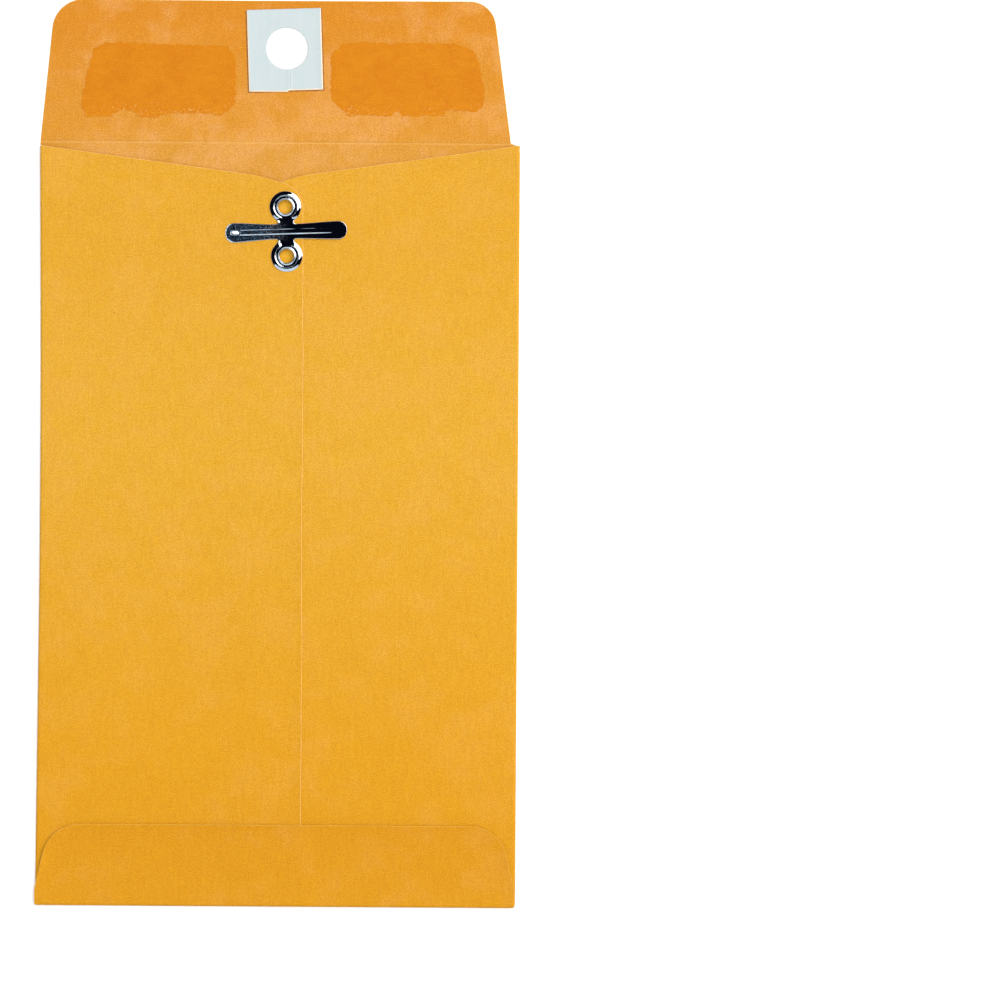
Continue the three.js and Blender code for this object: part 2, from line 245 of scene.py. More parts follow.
def cut_sheet(name, outline, place, blank, finishes, holes=(), cut=None, cell=2.6, rows=(),
              thickness=PAPER, bevel=CUT_BEVEL):
    """A sheet cut along an outline and laid by place(), with both faces and its pale cut edge.
    rows are the extra points that a fold or a crease needs. Where cut is 0, the sheet goes on
    into its neighbour and the border stays square."""
    rim_depth, rim_clear, row_clear, border_clear = 0.35, 0.3, 0.4, 0.05
    loops = [np.asarray(outline)] + [np.asarray(h)[::-1] for h in holes]
    keen = [np.ones(len(loop)) if cut is None else cut(loop).astype(float) for loop in loops]
    borders = [inset(loop, bevel * k) for loop, k in zip(loops, keen)]
    low, high = loops[0].min(0), loops[0].max(0)
    points = lattice(low, high, cell)
    points = points[inside(points, borders)]
    points = points[gap_to(points, borders) > cell * 0.4]
    rim = np.vstack([inset(b, rim_depth) for b in borders])
    rim = rim[inside(rim, borders)]
    rim = rim[gap_to(rim, borders) > rim_clear]
    for row in rows:
        low, high = row.min(0) - row_clear, row.max(0) + row_clear
        points = points[((points < low) | (points > high)).any(1)]
        rim = rim[((rim < low) | (rim > high)).any(1)]
    rows = [row[inside(row, borders)] for row in rows]
    rows = [row[gap_to(row, borders) > border_clear] for row in rows]
    points = np.vstack([points, rim] + rows)
    flat, faces, border = triangles(borders, points)

    def laid(uv, height):
        here = place(uv)
        tiny = 0.002
        along = place(uv + [tiny, 0]) - here
        up = place(uv + [0, tiny]) - here
        normal = np.cross(along, up)
        normal /= np.linalg.norm(normal, axis=1)[:, None]
        return here + normal * height

    n = len(flat)
    edge = np.vstack(loops)
    points3 = np.vstack([laid(flat, thickness / 2), laid(flat, -thickness / 2), laid(edge, 0)])
    spread = blank(np.vstack([flat, flat, edge]))
    all_faces = [tuple(f) for f in faces] + [tuple(f[::-1] + n) for f in faces]
    which = [0] * len(faces) + [1] * len(faces)
    first = 0
    for loop, k in zip(loops, keen):
        size = len(loop)
        for i in range(size):
            j = (i + 1) % size
            a, b = border[first + i], border[first + j]
            c, d = 2 * n + first + i, 2 * n + first + j
            all_faces += [(a, c, d, b), (c, a + n, b + n, d)]
            which += [2 if k[i] + k[j] > 1 else 0] * 2
        first += size
    piece = new_piece(name, points3, all_faces, finishes, spread, which)
    sharpen(piece)
    return piece


class Socket:
    """A node's output. Arithmetic on it adds Math nodes to its material."""

    def __init__(self, finish, output):
        self.finish, self.output = finish, output

    def _math(self, operation, *values):
        return self.finish.node("ShaderNodeMath", {"operation": operation}, values)

    def __add__(self, other):
        return self._math("ADD", self, other)

    __radd__ = __add__

    def __sub__(self, other):
        return self._math("SUBTRACT", self, other)

    def __rsub__(self, other):
        return self._math("SUBTRACT", other, self)

    def __mul__(self, other):
        return self._math("MULTIPLY", self, other)

    __rmul__ = __mul__

    def __gt__(self, other):
        return self._math("GREATER_THAN", self, other)

    def __abs__(self):
        return self._math("ABSOLUTE", self)


def add_node(tree, kind, settings=None, inputs=()):
    """Adds a node to a tree: its settings first, then its sockets, by position or by name."""
    made = tree.nodes.new(kind)
    for key, value in (settings or {}).items():
        if key == "stops":
            ramp = made.color_ramp
            while len(ramp.elements) < len(value):
                ramp.elements.new(0.5)
            for stop, (position, colour) in zip(ramp.elements, value):
                stop.position = position
                stop.color = (*colour, 1)
        else:
            setattr(made, key, value)
    pairs = inputs.items() if isinstance(inputs, dict) else enumerate(inputs)
    for key, value in pairs:
        value = value.output if isinstance(value, Socket) else value
        if isinstance(value, bpy.types.NodeSocket):
            tree.links.new(value, made.inputs[key])
        else:
            wide = isinstance(value, tuple) and len(value) == 3 and made.inputs[key].type == "RGBA"
            made.inputs[key].default_value = (*value, 1) if wide else value
    return made


class Finish:
    """A material, built from nodes."""

    def __init__(self, name):
        self.material = bpy.data.materials.new(name)
        self.material.use_nodes = True
        self.tree = self.material.node_tree
        self.tree.nodes.clear()

    def node(self, kind, settings=None, inputs=(), output=0):
        """Adds a node to the material, and gives back one of its outputs."""
        return Socket(self, add_node(self.tree, kind, settings, inputs).outputs[output])

    def mix(self, factor, low, high, blend="MIX"):
        """Low where the factor is 0 and high where it is 1, both colours."""
        settings = {"data_type": "RGBA", "blend_type": blend, "clamp_factor": True}
        return self.node("ShaderNodeMix", settings, {0: factor, 6: low, 7: high}, 2)

    def noise(self, place, scale, detail=2.0, roughness=0.5, distortion=0.0, stretch=None, shift=0.0):
        """Noise from about 0 to 1, with features about 1 / scale metres across."""
        if stretch is not None or shift:
            size = (1, 1, 1) if stretch is None else stretch
            place = self.node("ShaderNodeMapping", {"vector_type": "POINT"},
                              {"Vector": place, "Location": (shift, shift * 0.7, 0.0), "Scale": size})
        return self.node("ShaderNodeTexNoise", {"noise_dimensions": "3D"},
                         {"Vector": place, "Scale": scale, "Detail": detail, "Roughness": roughness,
                          "Distortion": distortion})

    def step(self, value, low, high):
        """0 below low, 1 above high, and smooth between."""
        return self.node("ShaderNodeMapRange", {"interpolation_type": "SMOOTHSTEP"},
                         {"Value": value, "From Min": low, "From Max": high})

    def done(self, colour, roughness, bump=None, bump_depth=0.00002, bump_strength=0.5, **fixed):
        """Closes the material with its surface shader. Fixed values go on the shader's sockets."""
        inputs = {"Base Color": colour, "Roughness": roughness}
        inputs.update({key.replace("_", " "): value for key, value in fixed.items()})
        if bump is not None:
            relief = {"Strength": bump_strength, "Distance": bump_depth, "Height": bump}
            inputs["Normal"] = self.node("ShaderNodeBump", {}, relief)
        shader = self.node("ShaderNodeBsdfPrincipled", {}, inputs)
        add_node(self.tree, "ShaderNodeOutputMaterial", {}, {"Surface": shader})
        return self.material


def kraft(name, tones, pink, shift):
    """Golden kraft. tones are the colours from the bottom fold up to the tip of the flap, as
    (y, colour); the sheet's fibres run along y. The pattern follows the flat blank."""
    f = Finish(name)
    flat = f.node("ShaderNodeUVMap", {"uv_map": "blank"})
    y = f.node("ShaderNodeSeparateXYZ", {}, [flat], 1)
    low, high = tones[0][0] * MM, tones[-1][0] * MM
    along = f.node("ShaderNodeMapRange", {}, {"Value": y, "From Min": low, "From Max": high})
    stops = [((t * MM - low) / (high - low), c) for t, c in tones]
    base = f.node("ShaderNodeValToRGB", {"stops": stops}, [along])
    cloud = f.noise(flat, 120, 3, 0.55, shift=shift)
    drift = f.noise(flat, 38, 2, 0.5, shift=shift + 1.3)
    fine = f.noise(flat, 3300, 2, 0.6, shift=shift + 0.2)
    mottle = f.noise(flat, 1100, 2, 0.6, 0.3, shift=shift)
    streak = f.noise(flat, 1000, 2, 0.6, stretch=(1.3, 0.22, 1), shift=shift + 0.5)
    strand = f.noise(flat, 620, 2, 0.55, 1.6, stretch=(1, 0.45, 1), shift=shift + 2.1)
    fibre = 1 - f.step(abs(strand - 0.5), 0.004, 0.03)
    cell = {"Vector": f.node("ShaderNodeMapping", {}, {"Vector": flat, "Location": (shift, 0.0, 0.0)}),
            "Scale": 150.0, "Randomness": 1.0}
    away = f.node("ShaderNodeTexVoronoi", {"feature": "F1"}, cell, 0)
    chance = f.node("ShaderNodeTexVoronoi", {"feature": "F1"}, cell, 1)
    pick = f.node("ShaderNodeSeparateColor", {}, [chance], 0)
    speck = (1 - f.step(away, 0.02, 0.05)) * (pick > 0.9)
    tone = (0.48 + (fine - 0.5) * 3.0 + (mottle - 0.5) * 0.7 + (streak - 0.5) * 0.6 + (cloud - 0.5) * 0.2
            + fibre * 0.10)
    grain = f.mix(tone, (0.89, 0.82, 0.52), (1.11, 1.18, 1.52))
    warm = f.noise(flat, 430, 2, 0.6, shift=shift + 4.4)
    tint = f.mix(0.5 + (warm - 0.5) * 1.6, (1.0, 0.985, 0.68), (1.0, 1.02, 1.38))
    grain = f.mix(1.0, grain, tint, "MULTIPLY")
    blush = f.step(cloud * 0.6 + drift * 0.4, 0.46, 0.60)
    rosy = f.mix(blush * pink, base, (0.575, 0.275, 0.080))
    colour = f.mix(1.0, rosy, grain, "MULTIPLY")
    # Below the crease a pale band: partly the paler scored paper, partly a painted highlight on the slope
    # that faces the light.
    wander = y + (f.noise(flat, 300, 2, 0.5, shift=5.0) - 0.5) * 0.00012
    pressed = f.step(wander, (CREASE - 0.50) * MM, (CREASE - 0.35) * MM)
    pressed = pressed * (1 - f.step(wander, (CREASE - 0.15) * MM, (CREASE - 0.05) * MM))
    colour = f.mix(pressed * (0.15 + mottle * 0.4), colour, (0.60, 0.34, 0.100))
    # In the crease a dark line: partly the compressed paper's own darker tone, partly painted shade in the
    # crease.
    line = f.step(wander, (CREASE - 0.04) * MM, (CREASE + 0.03) * MM)
    line = line * (1 - f.step(wander, (CREASE + 0.12) * MM, (CREASE + 0.22) * MM))
    strong = f.step(f.noise(flat, 55, 2, 0.5, shift=7.0), 0.36, 0.60)
    colour = f.mix(line * (0.05 + strong * 0.2), colour, (0.33, 0.115, 0.016))
    colour = f.mix(speck * 0.55, colour, (0.295, 0.115, 0.016))
    rough = 0.82 + (mottle - 0.5) * 0.2
    height = fine * 0.35 + mottle * 0.6 + streak * 0.4 + fibre * 0.25
    return f.done(colour, rough, height, 0.000022, 0.36, Specular_IOR_Level=0.18)


# The inside is painted lighter where it is seen only down the clasp's two barrels: painted light that makes
# up for the shade the barrel walls cast there.
DOWN_BARRELS_PAINTED_LIGHT = (0.655, 0.328, 0.0200)
OUTSIDE_TONES = [(-113, (0.499, 0.209, 0.0045)), (-88, (0.508, 0.223, 0.0060)),
                 (-63, (0.522, 0.236, 0.0067)), (0, (0.531, 0.269, 0.0191)),
                 (20, (0.531, 0.269, 0.0200)), (43, (0.526, 0.259, 0.0173)),
                 (66, (0.525, 0.256, 0.0182))]
INSIDE_TONES = [(-96, (0.517, 0.253, 0.0118)), (38, (0.524, 0.261, 0.0185)), (39.8, DOWN_BARRELS_PAINTED_LIGHT),
                (54.2, DOWN_BARRELS_PAINTED_LIGHT), (56, (0.525, 0.262, 0.0191)), (58, (0.493, 0.221, 0.0291)),
                (64, (0.493, 0.221, 0.0291)), (68, (0.498, 0.206, 0.0209)),
                (82, (0.494, 0.192, 0.0164)), (92, (0.492, 0.180, 0.0118)), (96, (0.490, 0.179, 0.0118))]
FRONT_TONES = [(-96, (0.484, 0.176, 0.0082)), (0, (0.504, 0.212, 0.011)), (96, (0.5, 0.203, 0.013))]
kraft_outside = kraft("kraft outside", OUTSIDE_TONES, 0.10, 0.0)
kraft_front = kraft("kraft address face", FRONT_TONES, 0.08, 0.0)
kraft_inside = kraft("kraft inside", INSIDE_TONES, 0.40, 3.7)


def cut_edge(name, colour, deep):
    """Where a sheet was cut: paler than its faces, with loose fibres."""
    f = Finish(name)
    flat = f.node("ShaderNodeUVMap", {"uv_map": "blank"})
    fuzz = f.noise(flat, 2600, 3, 0.7)
    gap = f.noise(flat, 300, 2, 0.5, shift=0.9)
    mixed = f.mix(f.step(fuzz * 0.5 + gap * 0.5, 0.38, 0.62), deep, colour)
    return f.done(mixed, 0.9, fuzz, 0.00002, 0.6, Specular_IOR_Level=0.2)


kraft_edge = cut_edge("kraft cut edge", (0.67, 0.395, 0.125), (0.58, 0.30, 0.057))
# A darker copy of the cut edge for the bottom flap, whose edges face away from the main light: painted
# shade.
kraft_shaded_edge = cut_edge("kraft cut edge, painted shade", (0.56, 0.29, 0.045), (0.51, 0.25, 0.016))


def as_drawn(uv):
    """For a piece that lies on the flat blank just as it lies on the table."""
    return uv


def crease_lift(x, y):
    """The sheet stands a little off the table beside the crease, whose line is pressed down."""
    d = y - CREASE
    width = np.where(d < 0, 0.45, 0.17)
    line = 1 - np.exp(-(d / width) ** 2)
    fade = np.exp(-np.abs(d) / np.where(d < 0, 1.6, 4.0))
    return np.where(d < 0, 0.022, 0.045) * line * fade


def bowed(x, y):
    """The left side fold was creased by hand and bows in by half a millimetre at mid height."""
    t = np.clip((CREASE - y) / (CREASE - FLOOR_LINE), 0, 1)
    return x + 0.5 * np.sin(math.pi * t ** 0.85) ** 1.3 * smooth(-x, 15, 48)


def front_place(uv):
    x, y = uv[:, 0], uv[:, 1]
    return np.column_stack([bowed(x, y), y, PAPER / 2 + crease_lift(x, y)])


def front_cut(loop):
    """The front panel is cut only at its two shoulders; elsewhere it goes on into folds and flap."""
    x, y = loop[:, 0], loop[:, 1]
    at_shoulders = (x > FLAP_RIGHT) | (x < -FRONT_HALF + 0.01)
    return (y > CREASE - LEFT_SHOULDER - 0.01) & (y < FLAP_JOIN - 1e-6) & at_shoulders


shoulder_run = (FRONT_HALF - FLAP_RIGHT) * BEND_REACH / RIGHT_SHOULDER
front_outline = corner_path([
    (-FRONT_HALF, FLOOR_LINE), (FRONT_HALF, FLOOR_LINE), (FRONT_HALF, CREASE - RIGHT_SHOULDER),
    (FLAP_RIGHT + shoulder_run, FLAP_JOIN), (FLAP_LEFT, FLAP_JOIN),
    (FLAP_LEFT, CREASE - LEFT_SHOULDER + 0.15),
    (-FRONT_HALF, CREASE - LEFT_SHOULDER)])
crease_rows = np.array([(x, CREASE + d) for x in np.arange(-51, 51, ROW_STEP)
                        for d in (-3.5, -2.4, -1.7, -1.25, -0.95, -0.7)])
front_panel = cut_sheet("front_panel_sheet", front_outline, front_place, as_drawn,
                        [kraft_inside, kraft_front, kraft_edge], cut=front_cut, rows=[crease_rows])
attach(front_panel, "envelope")
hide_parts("front_panel")


# Back panels. The blank's two side panels are folded in over rounded side folds; the left one
# laps over the right one in the middle, and the top edges slope down from the shoulders and dip
# towards the seam.

CLASP_X = 1.4
CLASP_Y = 46.95
CLASP_TURN = math.radians(2.0)
RING_PITCH = 10.4
BARREL_HOLE = 1.86
BACK_MIDDLE = BACK_TOP - PAPER / 2
SEAM_REACH = 4.7
SEAM_CORNER = 6.3
LAP_RISE = (-14.0, -4.9)
LAP_FALL = (4.9, 9.0)
THROAT = 7.75
DIP = 1.6
DIP_START = 4.5
DIP_ROUND = 20


def sway(x, y):
    """The slight rise and fall of the pocket's back, the same for every layer of it. It dies out
    at the folds, at the clasp and down the seam."""
    wave = (np.sin(x * 0.075 + y * 0.021 + 0.6) + np.sin(y * 0.058 - x * 0.03 + 2.1)
            + 0.6 * np.sin(x * 0.14 - y * 0.09 + 4.0)) / 2.6
    edge = smooth(FRONT_HALF - np.abs(x), 0, 12) * smooth(y - FLOOR_LINE, 0, 14)
    clasp = smooth(np.hypot(x - CLASP_X, y - CLASP_Y), 15, 34)
    return 0.16 * (wave + 0.3) * edge * clasp


def mouth_sag(x, y):
    """Nothing is inside, so at the mouth the back panels sag towards the front one, but not at
    the side folds and not at the clasp."""
    below = CREASE - THROAT + (THROAT - LEFT_SHOULDER) * np.abs(x) / FRONT_HALF - y
    from_ring = np.hypot(x - CLASP_X, y - CLASP_Y - RING_PITCH / 2)
    free = smooth(FRONT_HALF - np.abs(x), 0.5, 9) * smooth(from_ring, 3.8, 7.4)
    return 0.42 * free * (1 - smooth(below, 0.5, 9))


def seam_lift(x, y):
    """Past the paste the lap's edge has lifted a little, but not under the clasp."""
    clear = smooth(np.hypot(x - CLASP_X, y - CLASP_Y), 10, 14)
    bend = np.clip(1 - (SEAM_REACH + 0.5 - x) / 1.6, 0, 1) ** 2
    return 0.13 * bend * clear * smooth(y - FLOOR_LINE, 10, 24)


def seam_lean(x, y):
    """The lap was folded in a touch askew, so its edge leans, and it isn't quite straight."""
    lean = 0.35 + 0.4 * (CREASE - y) / 160 + 0.06 * np.sin(y * 0.11) + 0.04 * np.sin(y * 0.31 + 2)
    return lean * smooth(x, -4, SEAM_REACH - 0.3)


def back_place(side):
    """Lays a back panel: round its side fold, over the pocket, and for the left one up the lap."""
    def place(uv):
        x, y = uv[:, 0], uv[:, 1]
        if side < 0:
            from_barrel = np.hypot(x - CLASP_X, np.abs(y - CLASP_Y) - RING_PITCH / 2)
            x = x + seam_lean(x, y) * smooth(from_barrel, 2.2, 3.2)
        past = np.maximum(side * x - FRONT_HALF, 0)
        angle = past / SIDE_FOLD
        over = np.minimum(side * x, FRONT_HALF)
        lap = SEAM_STEP * smooth(x, *LAP_RISE) if side < 0 else 0
        lap = lap + (seam_lift(x, y) if side < 0 else 0)
        flat_z = BACK_MIDDLE + lap + sway(x, y) - mouth_sag(x, y)
        z = np.where(past > 0, SIDE_FOLD * np.cos(angle) + BACK_TOP / 2, flat_z)
        return np.column_stack([bowed(side * (over + SIDE_FOLD * np.sin(angle)), y), y, z])
    return place


def back_blank(side):
    """A back panel's place on the flat blank, beside the front panel."""
    turn = FRONT_HALF + math.pi * SIDE_FOLD / 2

    def blank(uv):
        return np.column_stack([2 * side * turn - uv[:, 0], uv[:, 1]])
    return blank


def make_back_panel(name, side, shoulder, *nodes):
    """One back panel with its side fold. It is drawn for the left side, and mirrored for the right."""
    reach = FRONT_HALF + math.pi * SIDE_FOLD
    slope = (THROAT - shoulder) / FRONT_HALF
    drop = THROAT + slope * SEAM_REACH
    bends = FRONT_HALF + SIDE_FOLD * np.linspace(0, math.pi, FOLD_STEPS)
    corners = [(-x, FLOOR_LINE) for x in bends[::-1]]
    corners += [(SEAM_REACH, FLOOR_LINE), (SEAM_REACH, CREASE - drop - DIP, SEAM_CORNER)]
    corners += [(-DIP_START, CREASE - THROAT + slope * DIP_START, DIP_ROUND)]
    corners += [(-x, CREASE - shoulder) for x in bends]
    outline = corner_path(corners)
    folds = np.array([(-x, y) for x in np.append(bends[:-1], FRONT_HALF - 0.5)
                      for y in between(FLOOR_LINE, CREASE - shoulder)])
    holes = [clasp_hole(-1), clasp_hole(1)]
    rows = [folds]
    if side > 0:
        outline = (outline * [-1, 1])[::-1]
        rows = [folds * [-1, 1]]

    def cut(loop):
        x = -side * loop[:, 0]
        free = (x > -FRONT_HALF - 0.01) & (loop[:, 1] > FLOOR_LINE + 0.01)
        return free | (loop[:, 1] > CREASE - shoulder - 0.01) & (x > -reach + 0.01)

    panel = cut_sheet(name, outline, back_place(side), back_blank(side),
                      [kraft_outside, kraft_inside, kraft_edge], holes=holes, cut=cut, rows=rows)
    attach(panel, "envelope")
    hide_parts(*nodes)


def on_clasp(x, y):
    """A point of the clasp, drawn along its own bar and rings, in the envelope's frame."""
    c, s = math.cos(CLASP_TURN), math.sin(CLASP_TURN)
    return CLASP_X + c * x - s * y, CLASP_Y + s * x + c * y


def clasp_hole(end):
    return circle(*on_clasp(0, end * RING_PITCH / 2), BARREL_HOLE, 40)


make_back_panel("right_back_sheet", 1, RIGHT_SHOULDER, "right_back_panel", "right_side_fold")
make_back_panel("left_back_sheet", -1, LEFT_SHOULDER, "left_back_panel", "left_side_fold")


# Seam glue. A line of dried starch paste, 0.04 mm thick, holds the left back panel down on the
# right one. It is hidden under the lap.

GLUE_FILM = 0.04
PASTE_HALF = 3.9
PASTE_BOTTOM = FLOOR_LINE + 0.8
PASTE_TOP = CREASE - 11.1


def dried_paste():
    f = Finish("dried paste")
    place = f.node("ShaderNodeTexCoord", {}, (), 3)
    thin = f.noise(place, 420, 3, 0.6)
    runs = f.noise(place, 900, 2, 0.5, stretch=(1, 0.15, 1), shift=0.4)
    mixed = f.mix(f.step(thin * 0.6 + runs * 0.4, 0.4, 0.62), (0.62, 0.42, 0.16), (0.78, 0.66, 0.38))
    return f.done(mixed, 0.38 + thin * 0.3, thin, 0.00002, 0.5)


paste = dried_paste()


def film(name, outline, place, node, body="envelope", holes=(), finish=paste, rows=()):
    """A film of dried glue between two sheets."""
    made = cut_sheet(name, outline, place, as_drawn, [finish, finish, finish], holes=holes,
                     thickness=GLUE_FILM, bevel=0.01, rows=rows)
    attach(made, body)
    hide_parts(node)


def seam_glue_place(uv):
    x, y = uv[:, 0], uv[:, 1]
    return np.column_stack([x, y, BACK_TOP + GLUE_FILM / 2 + sway(x, y) - mouth_sag(x, y)])


seam_line = corner_path([(-PASTE_HALF, PASTE_BOTTOM, 0.8), (PASTE_HALF, PASTE_BOTTOM, 0.8),
                         (PASTE_HALF, PASTE_TOP, 1.8), (-PASTE_HALF, PASTE_TOP, 0.8)])
film("seam_glue_line", seam_line, seam_glue_place, "seam_glue", holes=[clasp_hole(-1), clasp_hole(1)])


# Bottom flap. The blank's short bottom panel is folded up over both back panels and pasted to
# them. It is straight at the sides, then curves in to its top edge, and hides the seam's end.

BOTTOM_FLAP = 17.3
BOTTOM_HALF = 50.7
BOTTOM_SHIFT = -0.28
SIDE_HEIGHT = 3.4
SIDE_ROUND = 6
CORNER_RUN = 3.1
CORNER_ROUND = 8.2
LAP_LINES = 9
BOTTOM_PASTE_HALF = 39
BOTTOM_PASTE_INSET = 2.5


def under_bottom_flap(x, y):
    """How high the back panels stand under the bottom flap."""
    lap = SEAM_STEP * (smooth(x, *LAP_RISE) - smooth(x, *LAP_FALL))
    return BACK_TOP + lap + sway(x, y)


def bottom_curl(x, y):
    """The flap's edge past the paste line has lifted a little."""
    near = gap_to(np.column_stack([x, y]), [bottom_outline])
    height = 0.32 + 0.22 * smooth(-x, 38, 47)
    return height * np.clip(1 - near / 2.8, 0, 1) ** 2 * smooth(y - FLOOR_LINE, 0.5, 6)


def bottom_place(uv):
    """Lays the bottom flap: round the bottom fold, then over the back panels."""
    x, y = uv[:, 0], uv[:, 1]
    past = np.maximum(FLOOR_LINE - y, 0)
    angle = past / BOTTOM_FOLD
    rest = under_bottom_flap(x, y) + GLUE_FILM + PAPER / 2 + bottom_curl(x, y)
    fade = 0.9
    lap = (rest - BACK_TOP - GLUE_FILM - PAPER / 2) * np.clip(1 - past / fade, 0, 1)
    rolled = (BACK_TOP + SEAM_STEP) / 2 + BOTTOM_FOLD * np.cos(angle) + lap
    flat_y = np.maximum(y, FLOOR_LINE)
    return np.column_stack([x, flat_y - BOTTOM_FOLD * np.sin(angle), np.where(past > 0, rolled, rest)])


def bottom_blank(uv):
    """The bottom flap's place on the flat blank, below the front panel."""
    turn = FLOOR_LINE - math.pi * BOTTOM_FOLD / 2
    return np.column_stack([uv[:, 0], 2 * turn - uv[:, 1]])


def bottom_cut(loop):
    """The bottom flap is cut all round, but not where it goes on into the front panel."""
    return loop[:, 1] > FLOOR_LINE - math.pi * BOTTOM_FOLD + 0.02


top_line = POCKET_BOTTOM + BOTTOM_FLAP
left_side, right_side = -BOTTOM_HALF + BOTTOM_SHIFT, BOTTOM_HALF
turns = np.linspace(0, math.pi, FOLD_STEPS)
tucks = 0.5 - 0.5 * np.cos(turns)
left_end = [(left_side + (-FRONT_HALF - left_side) * t, FLOOR_LINE - BOTTOM_FOLD * a)
            for a, t in zip(turns, tucks)]
right_end = [(right_side + (FRONT_HALF - right_side) * t, FLOOR_LINE - BOTTOM_FOLD * a)
             for a, t in zip(turns[::-1], tucks[::-1])]
bottom_outline = corner_path(left_end + right_end + [
    (right_side, POCKET_BOTTOM + SIDE_HEIGHT, SIDE_ROUND), (right_side - CORNER_RUN, top_line, CORNER_ROUND),
    (left_side + CORNER_RUN, top_line, CORNER_ROUND), (left_side, POCKET_BOTTOM + SIDE_HEIGHT, SIDE_ROUND)])
roll = np.array([(x, FLOOR_LINE - BOTTOM_FOLD * a) for a in np.append(turns[:-1], -0.8)
                 for x in between(-FRONT_HALF, FRONT_HALF)])
laps = [np.array([(x, y) for x in np.linspace(*slope, LAP_LINES)
                  for y in np.arange(FLOOR_LINE + 1.2, top_line - 0.6, 1.4)])
        for slope in (LAP_RISE, LAP_FALL)]
# Its cut edge takes the darker copy of the edge finish, with shade painted in.
bottom_flap = cut_sheet("bottom_flap_sheet", bottom_outline, bottom_place, bottom_blank,
                        [kraft_outside, kraft_inside, kraft_shaded_edge], cut=bottom_cut, rows=[roll] + laps)
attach(bottom_flap, "envelope")
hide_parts("bottom_flap", "bottom_fold")


def bottom_glue_place(uv):
    """The paste lies on the back panels, under the bottom flap."""
    z = under_bottom_flap(uv[:, 0], uv[:, 1]) + GLUE_FILM / 2
    return np.column_stack([uv[:, 0], uv[:, 1], z])


bottom_line = corner_path([(side * BOTTOM_PASTE_HALF, y, 2.4) for side, y in (
    (-1, FLOOR_LINE + BOTTOM_PASTE_INSET), (1, FLOOR_LINE + BOTTOM_PASTE_INSET),
    (1, top_line - BOTTOM_PASTE_INSET), (-1, top_line - BOTTOM_PASTE_INSET))])
film("bottom_glue_line", bottom_line, bottom_glue_place, "bottom_flap_glue", rows=laps)


# Seal flap. The same sheet goes on past the crease into a tapering flap with rounded corners
# and a punched hole for the clasp's prongs. Here it lies open, with its inner face up.

FLAP_TOP = 95.95
HOLE_X = 1.35
HOLE_Y = CREASE + 19.8
HOLE_RADIUS = 4.45
TIP_LEFT = -47.8
TIP_RIGHT = 44.9
TIP_ROUND_LEFT = 6.7
TIP_ROUND_RIGHT = 5.6
TIP_HOLLOW = (-8.0, FLAP_TOP - 0.12)


def flap_place(uv):
    """The open flap lies on the table and stands up from it by a tenth of a millimetre in waves."""
    x, y = uv[:, 0], uv[:, 1]
    wave = 0.5 + 0.5 * np.sin(x * 0.085 + y * 0.11 + 1.0)
    free = smooth(y - CREASE, 4, 26) * smooth(np.hypot(x - HOLE_X, y - HOLE_Y), 11, 26)
    return np.column_stack([x, y, PAPER / 2 + crease_lift(x, y) + 0.10 * wave * free])


# How far above the crease the rows of points lie that carry the flap's bend.
turning = list(np.linspace(-0.44, 0.56, 17)) + [0.75, 1.05, 1.5, 2.2, 3.2]


def flap_side(d, foot, tip, spread=0.0):
    """A point of the flap's side, d above the crease; below it the side spreads to the panel."""
    x = foot + (tip - foot) * d / (FLAP_TOP - CREASE) if d > 0 else foot - spread * d / BEND_REACH
    return x, CREASE + d


flap_outline = corner_path(
    [(FLAP_LEFT, FLAP_JOIN), (FLAP_RIGHT + shoulder_run, FLAP_JOIN)]
    + [flap_side(d, FLAP_RIGHT, TIP_RIGHT, shoulder_run) for d in turning]
    + [(TIP_RIGHT, FLAP_TOP, TIP_ROUND_RIGHT), TIP_HOLLOW, (TIP_LEFT, FLAP_TOP, TIP_ROUND_LEFT)]
    + [flap_side(d, FLAP_LEFT, TIP_LEFT) for d in turning[::-1]])


def flap_cut(loop):
    """The flap is cut all round, but not where it goes on into the front panel."""
    return loop[:, 1] > FLAP_JOIN + 1e-6


bend_rows = np.array([(x, CREASE + d) for d in turning
                      for x in between(FLAP_LEFT, FLAP_RIGHT + shoulder_run)])
seal_flap = cut_sheet("seal_flap_sheet", flap_outline, flap_place, as_drawn,
                      [kraft_inside, kraft_front, kraft_edge], cut=flap_cut, rows=[bend_rows],
                      holes=[circle(HOLE_X, HOLE_Y, HOLE_RADIUS, 72)])
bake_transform(seal_flap)
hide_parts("seal_flap")


# Patch. A small square of pale bleached board is pasted round the hole so that the paper
# doesn't tear there. It was cut with a hand-fed knife and sits a little turned.

PATCH_X = HOLE_X - 0.45
PATCH_Y = HOLE_Y - 0.3
PATCH_HALF = (7.85, 8.65)
PATCH_TURN = math.radians(2.0)
PATCH_BOARD = 0.22
PATCH_LINES = (HOLE_X + 0.35, HOLE_X + 0.85)
NICK_Y = HOLE_Y - 0.35
PATCH_TOP = PAPER + GLUE_FILM + PATCH_BOARD


def board(name, colour, deep):
    """Bleached board: smooth, with faint blue and green clouds and a fine tooth."""
    f = Finish(name)
    flat = f.node("ShaderNodeUVMap", {"uv_map": "blank"})
    cloud = f.noise(flat, 260, 3, 0.55)
    tooth = f.noise(flat, 2800, 2, 0.6, shift=0.6)
    grain = f.noise(flat, 900, 2, 0.5, stretch=(1, 0.05, 1), shift=1.7)
    mixed = f.mix(0.5 + (cloud - 0.5) * 1.2 + (tooth - 0.5) * 1.9 + (grain - 0.5) * 1.3, deep, colour)
    return f.done(mixed, 0.78, tooth + grain * 0.6, 0.000012, 0.4, Specular_IOR_Level=0.3)


patch_face = board("bleached board", (0.447, 0.482, 0.492), (0.402, 0.464, 0.464))
patch_edge = board("board cut edge", (0.72, 0.62, 0.47), (0.64, 0.53, 0.38))


